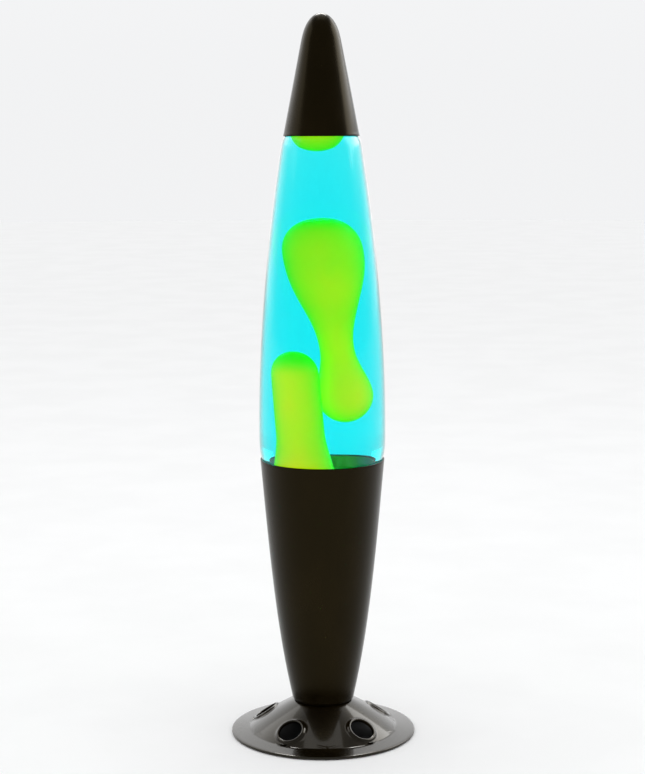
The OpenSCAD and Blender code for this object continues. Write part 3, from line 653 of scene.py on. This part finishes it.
def build_foot():
    flange = [(r, CREASE_H - (CREASE_H - RIM_EDGE_H) * (r - CREASE_R) / FLANGE_W)
              for r in span(CREASE_R, FOOT_R - 0.9, 8)]
    rim_r = 0.6
    rim = [(FOOT_R - rim_r + rim_r * math.sin(a), RIM_EDGE_H - rim_r + rim_r * math.cos(a))
           for a in span(math.radians(10), math.radians(90), 4)]
    outside = flange + rim + [(FOOT_R, 0.9), (FOOT_R, 0.55)]
    top = [(r, FOOT_TOP) for r in (FOOT_NECK_R, 14, 11, 8, TUBE_HOLE_R)]
    parts = [ring_part(outside), ring_part(top), plain_sector(vent_angle(3))]
    parts += [vent_sector(vent_angle(i)) for i in (0, 1, 2, 4)]
    foot = piece("foot_pressing", parts, "base", ["foot"], [FOOT_PAINT], 50)
    face_up(foot)
    soften_crease(foot)
    sheet = foot.modifiers.new("sheet", "SOLIDIFY")
    sheet.thickness, sheet.offset = FOOT_T * MM, -1
    apply_all(foot)
    bush_middle = (bush_low + bush_high) / 2
    hole_r = (bush_high.x - bush_low.x) / 2 - BUSH_FLANGE
    hole = turned([(0, -9), (hole_r, -9), (hole_r, 14), (0, 14)], 64)
    holes = draught_holes(FOOT_TOP - 2, FOOT_TOP + 1)
    cut(foot, [lying(hole, bush_middle.y, bush_middle.z)] + holes, 50)


def face_up(obj):
    """Turns an open sheet's faces so that its top faces up."""
    if sum(f.normal.z * f.area for f in obj.data.polygons) < 0:
        obj.data.flip_normals()


def soften_crease(obj):
    """Draws the sharp crease between flange and dome into the small radius of a pressing."""
    relax(obj, lambda v: abs(math.hypot(v.x, v.y) - CREASE_R) < 1.6, 3, "z")


def draught_holes(low, high):
    """Small holes round the threaded tube, through the foot's top and the holder's floor."""
    hole = turned([(0, low), (DRAUGHT_R, low), (DRAUGHT_R, high), (0, high)], 24)
    angles = [math.tau * (i + 1) / DRAUGHT_HOLES for i in range(DRAUGHT_HOLES)]
    places = [(DRAUGHT_RING_R * math.cos(a), DRAUGHT_RING_R * math.sin(a), 0) for a in angles]
    return [placed(hole, Matrix.Translation(place)) for place in places]


def build_pad():
    outer, inner = pad_high.x, pad_high.x - 6.0
    outline = rounded([(inner, 0, 0.35), (outer, 0, 0.35), (outer, 0.85, 0.2),
                       (inner, pad_high.z - 0.05, 0.2)])
    piece("foot_ring_pad", [turned(outline, 180)], "base", ["foot_pad"], [RUBBER])


def build_bush():
    """The lead's bush, ribbed along the part that the foot grips."""
    length = bush_high.y - bush_low.y
    big, body_r, bore = bush_high.x, bush_high.x - BUSH_FLANGE, 2.6
    first, pitch, groove_r = 4.2, 2.4, body_r - 0.45
    corners = [(bore, 0, 0.3), (body_r + 0.6, 0, 0.4), (body_r + 0.6, 1.4, 0.3), (body_r, 1.6, 0.2)]
    for y in [first + k * pitch for k in range(5)]:
        corners += [(body_r, y, 0.2), (groove_r, y + 0.4, 0.2), (groove_r, y + 1.2, 0.2),
                    (body_r, y + 1.6, 0.2)]
    corners += [(body_r, length - 1.6, 0.2), (big, length - 1.4, 0.3), (big, length, 0.4),
                (bore, length, 0.3)]
    bush = turned(rounded(corners, steps=3), 72)
    piece("lead_inlet_bush", [lying(bush, bush_high.y, (bush_low.z + bush_high.z) / 2)], "base",
          ["lead_bush"], [RUBBER])


# ---- Holder ----


def build_holder():
    floor_z = FOOT_TOP
    inner_corner = FLOOR_CORNER - HOLDER_T
    corner_r = holder_side(floor_z + FLOOR_CORNER)
    heights = span(floor_z + FLOOR_CORNER, RIM_Z, 60)
    quarter = [math.radians(a) for a in span(0, 75, 6)]
    outline = [(TUBE_HOLE_R, floor_z), (12, floor_z)]
    outline += [(corner_r - FLOOR_CORNER * (1 - math.sin(a)),
                 floor_z + FLOOR_CORNER * (1 - math.cos(a))) for a in quarter]
    outline += [(holder_side(z), z) for z in heights[:-1]]
    edge = HOLDER_T / 2
    outline += [(RIM_R - edge + edge * math.cos(a), RIM_Z - edge + edge * math.sin(a))
                for a in span(0, math.pi, 8)]
    outline += [(holder_side(z) - HOLDER_T, z) for z in heights[-2::-1]]
    outline += [(corner_r - HOLDER_T - inner_corner * (1 - math.sin(a)),
                 floor_z + HOLDER_T + inner_corner * (1 - math.cos(a))) for a in quarter[::-1]]
    outline += [(12, floor_z + HOLDER_T), (TUBE_HOLE_R, floor_z + HOLDER_T)]
    holder = piece("holder_shell", [turned(outline, 192)], "base", ["holder"],
                   [HOLDER_PAINT, BARE_ALUMINIUM], 60)
    cut(holder, draught_holes(floor_z - 1, floor_z + HOLDER_T + 1), 60)
    bare_inside(holder, holder_side, HOLDER_T, floor_z, RIM_Z - 0.6)


def bare_inside(shell, side, thickness, floor_z, ceiling_z):
    """Gives a shell's inside faces its second material."""
    def inside(c):
        return (math.hypot(c.x, c.y) < side(c.z) - thickness * 0.6
                and floor_z + 0.5 < c.z < ceiling_z)
    paint_where(shell, 1, inside)


# ---- Threaded tube, washers and nut ----


def thread(pitch, depth, low, high):
    """A warp that cuts a round thread between two heights, fading out at its ends."""
    def warp(r, z, angle):
        fade = ease((z - low) / pitch) * ease((high - z) / pitch)
        return r - depth * fade * (0.5 + 0.5 * math.cos(math.tau * z / pitch - angle)), z
    return warp


def outside_only(warp, from_r):
    """The same warp, kept off the points nearer to the axis than from_r."""
    return lambda r, z, angle: warp(r, z, angle) if r > from_r else (r, z)


def build_nipple():
    low, high, outer, bore = nipple_low.z, nipple_high.z, nipple_high.x, 3.5
    shape = thread(1.0, 0.5, low + 0.4, high - 0.4)
    outline = [(bore, low + 0.3), (bore + 0.3, low), (outer - 0.6, low), (outer, low + 0.6)]
    outline += [(outer, z) for z in span(low + 0.7, high - 0.7, 150)]
    outline += [(outer, high - 0.6), (outer - 0.6, high), (bore + 0.3, high), (bore, high - 0.3)]
    tube_part = turned(outline, 48, outside_only(shape, outer - 0.7))
    piece("threaded_tube", [tube_part], "base", ["nipple"], [ZINC], 60)


def build_nut():
    """Hexagonal nut with turned chamfers top and bottom."""
    low, high, flat = nut_low.z, nut_high.z, 8.5
    corner, bore = flat / math.cos(math.pi / 6), nipple_high.x
    rise = (corner - flat) * 0.55

    def hexagonal(r, z, angle):
        if r < flat - 0.5:
            return r, z
        facet = (angle + math.pi / 6) % (math.pi / 3) - math.pi / 6
        return min(r, flat / math.cos(facet)), z

    outline = [(bore + 0.6, low), (flat - 0.3, low), (flat, low + 0.05)]
    outline += [(flat + (corner - flat) * t, low + rise * t * t) for t in span(0.2, 1, 6)]
    outline += [(corner, z) for z in span(low + rise + 0.2, high - rise - 0.2, 3)]
    outline += [(flat + (corner - flat) * t, high - rise * t * t) for t in span(1, 0.2, 6)]
    outline += [(flat, high - 0.05), (flat - 0.3, high), (bore + 0.6, high),
                (bore + 0.05, high - 0.6), (bore + 0.05, low + 0.6)]
    piece("hex_nut", [turned(outline, 144, hexagonal)], "base", ["lock_nut"],
          [ZINC], 24)


# ---- Lampholder ----

BULB_PITCH = 2.82


def build_entry_cap():
    low, high, r, t = entry_low.z, entry_high.z, entry_high.x, 1.4
    neck_r, cup_z, bore = 7.6, entry_low.z + 4.4, nipple_high.x + 0.02
    seat_z = high - 2.0
    outline = rounded([
        (bore, low, 0.2), (neck_r, low, 0.7), (neck_r, cup_z - 1, 0.8), (r - 1.5, cup_z + 1, 0.8),
        (r, cup_z + 2.5, 0.8), (r, high, 0.25), (r - t, high, 0.2), (r - t, seat_z, 0.1),
        (r - t - 1, seat_z, 0.2), (r - t - 1, cup_z + 2.8, 0.5), (r - t - 2.4, cup_z + 2, 0.5),
        (bore, cup_z, 0.3)])

    def ribbed(rr, z, angle):
        grip = ease((z - cup_z - 2.6) / 0.6) * ease((high - 0.5 - z) / 0.5)
        return rr - 0.35 * grip * (0.5 + 0.5 * math.cos(36 * angle)) ** 2, z

    tall = []
    for a, b in zip(outline, outline[1:] + outline[:1]):
        tall.append(a)
        if a[0] > r - 0.1 and b[0] > r - 0.1 and abs(b[1] - a[1]) > 1.5:
            tall += [(r, z) for z in span(a[1], b[1], 12)[1:-1]]
    piece("lampholder_entry_cap", [turned(tall, 288, outside_only(ribbed, r - 0.3))], "base",
          ["socket_entry_cap"], [PORCELAIN])


def build_socket():
    low, high, r, t = entry_high.z, socket_high.z, socket_high.x, 1.4
    shell_r, carrier_top = shell_high.x, carrier_high.z
    first, pitch = low + 6.2, 3.2
    corners = [(r - t, low, 0.2), (r, low, 0.5), (r, low + 3, 0.5), (r - 1, low + 4, 0.5)]
    for z in [first + k * pitch for k in range(4)]:
        corners += [(r - 1, z, 0.25), (r - 0.55, z + 0.5, 0.25), (r - 0.55, z + 1.1, 0.25),
                    (r - 1, z + 1.6, 0.25)]
    corners += [
        (r - 1, high - 1.2, 0.6), (r - 2, high, 0.8), (shell_r + 0.9, high, 0.4),
        (shell_r, high - 1, 0.3), (shell_r, low + 8, 0.3), (r - t - 1, low + 5, 0.4),
        (r - t - 1, carrier_top, 0.2), (r - t, carrier_top, 0.2)]
    piece("lampholder_body", [turned(rounded(corners), 128)], "base", ["socket_body"],
          [PORCELAIN])


def build_screw_shell():
    """The lampholder's rolled brass shell, its thread outwards so that the bulb's cap clears it."""
    low, high, bore, t = shell_low.z, shell_high.z, 7.05, 0.35
    heights = span(low + 0.2, high - 0.2, 84)
    outline = [(bore, z) for z in heights] + [(bore + t * 0.5, high)]
    outline += [(bore + t, z) for z in heights[::-1]] + [(bore + t * 0.5, low)]

    def rolled(r, z, angle):
        fade = ease((z - low - 2) / 2) * ease((high - 1 - z) / 2)
        return r + 0.28 * fade * (0.5 - 0.5 * math.cos(math.tau * z / BULB_PITCH - angle)), z

    piece("lampholder_screw_shell", [turned(outline, 96, rolled)], "base", ["screw_shell"],
          [BRASS], 60)


# ---- Bulb ----


def build_screw_cap():
    """The bulb's brass cap with its rolled thread and flared collar."""
    low, collar_top, collar_r, wall = screw_low.z, screw_high.z, screw_high.x, 0.3
    screw_r, flare_z = 6.9, screw_high.z - 5
    heights = span(low + 1.4, flare_z - 1, 80)
    flare = [(screw_r + (collar_r - screw_r) * ease(t), flare_z - 1 + 2 * t)
             for t in span(0, 1, 8)[1:]]
    outside = [(0, low), (screw_r - 1.0, low), (screw_r - 0.5, low + 0.35),
               (screw_r - 0.1, low + 0.9)]
    outside += [(screw_r, z) for z in heights] + flare
    outside += [(collar_r, collar_top - 0.2), (collar_r - wall / 2, collar_top)]
    inside = [(collar_r - wall, collar_top - 0.2)] + [(r - wall, z + 0.1) for r, z in flare[::-1]]
    inside += [(screw_r - wall, z) for z in heights[::-1]]
    inside += [(screw_r - 1.2, low + 1.2), (0, low + 1.2)]
    rolled = outside_only(thread(BULB_PITCH, 0.55, low + 0.8, flare_z - 0.6), screw_r - 0.35)
    piece("bulb_threaded_cap", [turned(outside + inside, 96, rolled)], "bulb", ["bulb_screw_cap"],
          [BRASS], 60)


def build_bulb():
    """Envelope of a small reflector bulb: silvered sides and a frosted front."""
    bulb_r, front_h, neck_r, wall = bulb_high.x, 11, 8.1, 0.7
    wide_z = bulb_high.z - front_h
    neck_z = screw_high.z
    heights = span(0, 1, 28)

    def skin(inset):
        side = [(neck_r - inset, bulb_low.z)]
        side += [(neck_r + (bulb_r - neck_r) * math.sin(math.pi / 2 * t**1.15) - inset,
                  neck_z + (wide_z - neck_z) * t) for t in heights]
        dome = [((bulb_r - inset) * math.cos(a), wide_z + (front_h - inset) * math.sin(a))
                for a in span(0, math.pi / 2, 16)[1:]]
        return side + dome

    outline = skin(0) + skin(wall)[::-1]
    bulb = piece("bulb_envelope", [turned(outline, 128)], "bulb", ["bulb_glass"],
                 [BULB_FRONT, SILVERING], 70)
    paint_where(bulb, 1, lambda c: c.z < wide_z - 0.5)


def build_filament():
    """Coiled tungsten wire between the two lead-in wires."""
    half, z = (filament_high.x - filament_low.x) / 2, (filament_low.z + filament_high.z) / 2
    coil_r, turns, steps = 0.34, 30, 12
    path = [(-half + 0.3, 0, z)]
    for k in range(turns * steps + 1):
        x = -half + 0.8 + (2 * half - 1.6) * k / (turns * steps)
        a = math.tau * k / steps
        path.append((x, coil_r * math.sin(a), z + coil_r * math.cos(a)))
    path.append((half - 0.3, 0, z))
    piece("coiled_filament", [tube(path, 0.07, 6)], "bulb", ["filament"],
          [TUNGSTEN], 80)


# ---- Bottle and what it holds ----


def punt(edge_r, base_z):
    """The push-up in the middle of the bottle's base."""
    shares = ((0, 1), (0.25, 0.95), (0.45, 0.8))
    return [(edge_r * across, base_z + PUNT_H * up) for across, up in shares]


def cavity(grow):
    """Outline of the bottle's inside, grown by a little, from the middle of its base up."""
    edge_r, corner = bottle_side(BASE_Z + BASE_CORNER), BASE_CORNER - 1
    outline = punt(edge_r, INNER_BASE_Z - grow)
    outline += [(edge_r - GLASS_T - corner * (1 - math.cos(a)) + grow * math.cos(a),
                 INNER_BASE_Z + corner + corner * math.sin(a) + grow * math.sin(a))
                for a in span(-math.pi / 2, 0, 8)]
    heights = span(BASE_Z + BASE_CORNER + 6, RIM_Z, 10) + span(RIM_Z + 2, WIDEST_Z, 8)
    heights += span(WIDEST_Z, CAP_Z, 44)[1:] + span(CAP_Z + 1.5, NECK_Z, 14)
    return outline + [(bottle_side(z) - GLASS_T + grow, z) for z in heights]


def build_bottle():
    edge_r = bottle_side(BASE_Z + BASE_CORNER)
    outside = punt(edge_r, BASE_Z) + [(edge_r - BASE_CORNER - 2, BASE_Z + 0.4)]
    outside += [(edge_r - BASE_CORNER * (1 - math.cos(a)),
                 BASE_Z + BASE_CORNER + BASE_CORNER * math.sin(a))
                for a in span(-math.pi / 2, 0, 10)]
    heights = span(BASE_Z + BASE_CORNER + 6, RIM_Z, 12) + span(RIM_Z + 1.5, WIDEST_Z, 12)
    heights += span(WIDEST_Z, CAP_Z, 56)[1:] + span(CAP_Z + 1.2, NECK_Z, 18)
    outside += [(bottle_side(z), z) for z in heights]
    mouth = rounded([
        (NECK_R, NECK_Z, 0), (NECK_R, MOUTH_Z - 4.5, 0.8), (MOUTH_R, MOUTH_Z - 3.4, 0.9),
        (MOUTH_R, MOUTH_Z - 0.2, 1.3), (MOUTH_BORE_R + 0.6, MOUTH_Z, 0.6),
        (MOUTH_BORE_R, MOUTH_Z - 1, 0.8), (MOUTH_BORE_R, NECK_Z + 1.5, 1.5),
        (NECK_R - GLASS_T, NECK_Z, 0)], closed=False, steps=5)
    outline = outside + mouth[1:-1] + cavity(0)[::-1]
    piece("glass_bottle", [turned(outline, 192)], "bottle", ["bottle"],
          [BOTTLE_GLASS], 70)


def build_fluid():
    """The liquid, a little way into the glass so that no air shows between them."""
    wall = [p for p in cavity(GLASS_BITE) if p[1] < FLUID_Z - 0.5]
    edge_r = bottle_side(FLUID_Z) - GLASS_T + GLASS_BITE
    surface = [(edge_r, FLUID_Z + 0.3), (edge_r - 0.5, FLUID_Z + 0.06), (edge_r - 1.4, FLUID_Z),
               (0, FLUID_Z)]
    piece("cyan_fluid", [turned(wall + surface, 192)], "bottle", ["fluid"], [LIQUID], 60)


def drop_side(up):
    """Radius of the rising drop at a height up it: lobe, waist and head."""
    def blend(a, b, t):
        return a + (b - a) * (1 - math.cos(math.pi * t)) / 2

    if up < LOBE_AT:
        return LOBE_R * math.sqrt(max(0, 1 - ((LOBE_AT - up) / LOBE_AT) ** 2))
    if up < WAIST_AT:
        return blend(LOBE_R, WAIST_R, (up - LOBE_AT) / (WAIST_AT - LOBE_AT))
    if up < HEAD_AT:
        return blend(WAIST_R, HEAD_R, (up - WAIST_AT) / (HEAD_AT - WAIST_AT))
    return HEAD_R * max(0, 1 - ((up - HEAD_AT) / HEAD_L) ** HEAD_CURVE) ** (1 / HEAD_CURVE)


def uneven(verts, amount, size):
    """Pushes points about by smooth noise, so that soft wax isn't perfectly turned."""
    return [Vector(v) + noise.noise_vector(Vector(v) / size) * amount for v in verts]


def leaning(place, z, degrees):
    """A place in the bottle, and a lean to the right there."""
    lean = Matrix.Rotation(math.radians(degrees), 4, "Y")
    return Matrix.Translation((*place, z)) @ lean


def build_drop():
    stops = [LOBE_AT * (1 - math.cos(a)) for a in span(0, math.pi / 2, 14)]
    stops += span(LOBE_AT + 1.5, HEAD_AT - 1.1, 48)
    stops += [HEAD_AT + HEAD_L * math.sin(a) for a in span(0, math.pi / 2, 20)]
    outline = [(drop_side(up), up) for up in stops]
    lean = leaning(DROP_PLACE, drop_low.z, DROP_LEAN)
    verts, faces = placed(turned(outline, 96, closed=False), lean)
    piece("wax_rising_drop", [(uneven(verts, 0.5, 22), faces)], "drop", ["wax_drop"],
          [DROP_WAX], 80)


def build_lump():
    centre_x, radius = (lump_low.x + lump_high.x) / 2, (lump_high.x - lump_low.x) / 2
    tall, low = lump_high.z - lump_low.z, lump_low.z
    outline = [(radius * math.sin(a), low + tall * 0.7 * (1 - math.cos(a)))
               for a in span(0, math.pi / 2, 16)]
    outline += [(radius - 0.2, low + tall * 0.85), (radius - 1.2, low + tall * 0.97),
                (radius - 3, low + tall), (0, low + tall)]
    lump = placed(turned(outline, 96, closed=False), Matrix.Translation((centre_x, 0, 0)))
    piece("wax_floating_lump", [(uneven(lump[0], 0.6, 14), lump[1])], "bottle", ["wax_lump"],
          [LUMP_WAX], 80)


def build_pool():
    """Pool and column of wax as one soft body: joined, remeshed and smoothed where they meet."""
    top = POOL_TOP
    wall = [p for p in cavity(-0.06) if p[1] < top - 1]
    edge_r = bottle_side(top) - GLASS_T - 0.06
    surface = [(edge_r, top + 0.8), (edge_r - 2, top + 0.1), (edge_r - 6, top), (0, top)]
    pool = turned(wall + surface, 128)
    tall = pool_high.z - top + 1
    straight = tall - COLUMN_DOME_H
    outline = [(0, -12), (COLUMN_FOOT_R, -12)]
    outline += [(COLUMN_FOOT_R + (COLUMN_R - COLUMN_FOOT_R) * ease(t), straight * 0.5 * t)
                for t in span(0, 1, 16)]
    outline += [(COLUMN_R, straight * (0.5 + 0.5 * t)) for t in span(0, 1, 8)[1:]]
    outline += [(COLUMN_R * math.cos(a), straight + COLUMN_DOME_H * math.sin(a))
                for a in span(0, math.pi / 2, 14)[1:]]
    column = placed(turned(outline, 96), leaning(COLUMN_PLACE, top - 1, COLUMN_LEAN))
    wax = piece("wax_pool_and_column", [pool, column], "bottle", ["wax_pool"],
                [POOL_WAX], 80)
    skin = wax.modifiers.new("skin", "REMESH")
    skin.mode, skin.voxel_size = "VOXEL", 0.7 * MM
    apply_all(wax)
    relax(wax, lambda v: v.z > top - 2 and math.hypot(v.x, v.y) < edge_r - 1.5, 14)
    wax.data.shade_smooth()


def build_coil():
    """Ring of coiled wire in the bottom of the bottle."""
    outer_r, wire_r, turns, steps = 2.0, 0.35, 44, 12
    ring_r, loop_r = coil_high.x - outer_r, outer_r - wire_r
    middle_z = (coil_low.z + coil_high.z) / 2
    path = []
    for k in range(turns * steps):
        around, about = math.tau * k / (turns * steps), math.tau * k / steps
        r, z = ring_r + loop_r * math.cos(about), middle_z + loop_r * math.sin(about)
        path.append((r * math.cos(around), r * math.sin(around), z))
    piece("wire_ring", [tube(path, wire_r, 6, closed=True)], "bottle", ["wire_coil"],
          [ZINC], 80)


# ---- Closure ----


def build_crown():
    top, low, t, flutes = crown_high.z, crown_low.z, 0.3, 21
    over_r, flare_r = MOUTH_R + 0.6, crown_high.x
    outside = [(0, top), (over_r - 3, top), (over_r - 1.2, top - 0.25),
               (over_r - 0.35, top - 0.9), (over_r, top - 1.8)]
    skirt_z = top - 2.2
    outside += [(over_r + (flare_r - 0.15 - over_r) * u**1.6, skirt_z + (low + 0.2 - skirt_z) * u)
                for u in span(0, 1, 14)]
    outside += [(flare_r - 0.15, low)]
    inside = [(r - t if r > t else 0, z + (0.05 if z < low + 1 else -t * (z > top - 1)))
              for r, z in outside[::-1]]

    def fluted(r, z, angle):
        grip = ease((top - 1.6 - z) / 3.0)
        if r < over_r - 0.9:
            return r, z
        return r - 0.42 * grip * (0.5 - 0.5 * math.cos(flutes * angle)), z

    piece("crimped_crown_cap", [turned(outside + inside, 12 * flutes, fluted)], "bottle",
          ["crown_cap"], [TINPLATE], 55)


def build_cap():
    edge = CAP_T / 2
    tip_z = TOP_Z - TIP_H
    outer = span(CAP_Z + 1.2, tip_z, 30)
    outer += [tip_z + TIP_H * math.sin(a) for a in span(0.04, math.pi / 2 - 0.02, 30)]
    inner = [z for z in outer if z < TOP_Z - 1.5]
    outline = [(CAP_R - edge + edge * math.cos(a), CAP_Z + edge + edge * math.sin(a))
               for a in span(math.pi, math.tau, 8)]
    outline += [(cap_side(z), z) for z in outer] + [(0, TOP_Z), (0, TOP_Z - 1.3)]
    outline += [(cap_side(z + 0.4) - CAP_T, z) for z in inner[::-1]]
    cap = piece("cap_shell", [turned(outline, 160)], "cap", ["cap"],
                [CAP_PAINT, BARE_ALUMINIUM], 60)
    bare_inside(cap, lambda z: cap_side(min(z + 0.4, TOP_Z)), CAP_T, CAP_Z, TOP_Z - 1.2)


# ---- CAD nodes that keep their own shape ----

KEPT = {
    "lock_washer": ZINC, "floor_washer": ZINC, "grub_screw": ZINC, "contact_carrier": PORCELAIN,
    "terminals": BRASS, "terminal_screws": ZINC, "centre_contact": BRASS, "bulb_tip": SOLDER,
    "bulb_insulator": BLACK_GLASS, "bulb_stem": STEM_GLASS, "bulb_leads": TUNGSTEN,
    "crown_liner": LINER,
}


def finish_kept_nodes():
    for name, material in KEPT.items():
        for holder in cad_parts[name].material_slots:
            holder.material = material


# ---- Scene ----


def build_camera():
    data = bpy.data.cameras.new("camera")
    data.lens, data.sensor_width = 84.68, 36
    looking_down, rolled = 8.056, 0.17
    camera = bpy.data.objects.new("camera", data)
    camera.location = (0.0006, -1.0127, 0.3430)
    camera.rotation_euler = (math.radians(90 - looking_down), math.radians(rolled), 0)
    bpy.context.scene.collection.objects.link(camera)
    bpy.context.scene.camera = camera


def build_floor():
    disc = turned([(0, 0), (400, 0), (1500, 0), (6000, 0)], 96, closed=False)
    floor = mesh_object("studio_floor", [disc])
    floor.data.materials.append(floor_paper())
    face_up(floor)


def softbox(name, place, aim, size, power, lights):
    """A soft light; one that doesn't light the scene is there only to be reflected."""
    data = bpy.data.lights.new(name, "AREA")
    data.shape, data.size, data.size_y = "RECTANGLE", size[0], size[1]
    data.energy = power
    light = bpy.data.objects.new(name, data)
    light.location = place
    light.rotation_euler = (Vector(aim) - Vector(place)).to_track_quat("-Z", "Y").to_euler()
    light.visible_diffuse = lights
    bpy.context.scene.collection.objects.link(light)


def build_studio():
    """Pale all round; glossy things see a dimmer room behind the camera than behind the lamp."""
    world = bpy.data.worlds.new("studio")
    world.use_nodes = True
    bpy.context.scene.world = world
    nodes, links = world.node_tree.nodes, world.node_tree.links
    back = next(n for n in nodes if n.type == "BACKGROUND")
    back.inputs["Color"].default_value = (0.985, 0.99, 1.0, 1)
    parts = nodes.new("ShaderNodeSeparateXYZ")
    links.new(nodes.new("ShaderNodeTexCoord").outputs["Generated"], parts.inputs["Vector"])

    def shade(axis, *limits):
        node = map_range(world.node_tree, *limits)
        links.new(parts.outputs[axis], node.inputs["Value"])
        return node.outputs["Result"]

    room = nodes.new("ShaderNodeMix")
    links.new(nodes.new("ShaderNodeLightPath").outputs["Is Glossy Ray"], room.inputs["Factor"])
    room.inputs[2].default_value = 1.0
    links.new(shade("Y", 0.1, 0.8, 0.35, 1.6), room.inputs[3])
    strength = nodes.new("ShaderNodeMath")
    strength.operation = "MULTIPLY"
    links.new(room.outputs[0], strength.inputs[0])
    links.new(shade("Z", 0.0, 0.3, 0.9, 1.0), strength.inputs[1])
    links.new(strength.outputs["Value"], back.inputs["Strength"])

    softbox("softbox_left", (-1.1, 0.35, 0.95), (0, 0, 0.3), (1.6, 0.8), 5, False)
    softbox("softbox_right", (1.1, 0.5, 0.95), (0, 0, 0.3), (1.3, 0.8), 14, False)
    softbox("softbox_back", (0, 1.0, 1.3), (0, 0, 0.05), (0.7, 0.4), 12, False)
    softbox("softbox_top", (0, 0.2, 1.6), (0, 0, 0.2), (0.9, 0.9), 2.5, True)


build_camera()
build_floor()
build_studio()
bpy.context.scene.view_settings.view_transform = "Standard"

for build in (build_foot, build_pad, build_bush, build_holder, build_nipple, build_nut,
              build_entry_cap, build_socket, build_screw_shell, build_screw_cap, build_bulb,
              build_filament, build_bottle, build_fluid, build_drop, build_lump, build_pool,
              build_coil, build_crown, build_cap):
    build()
finish_kept_nodes()
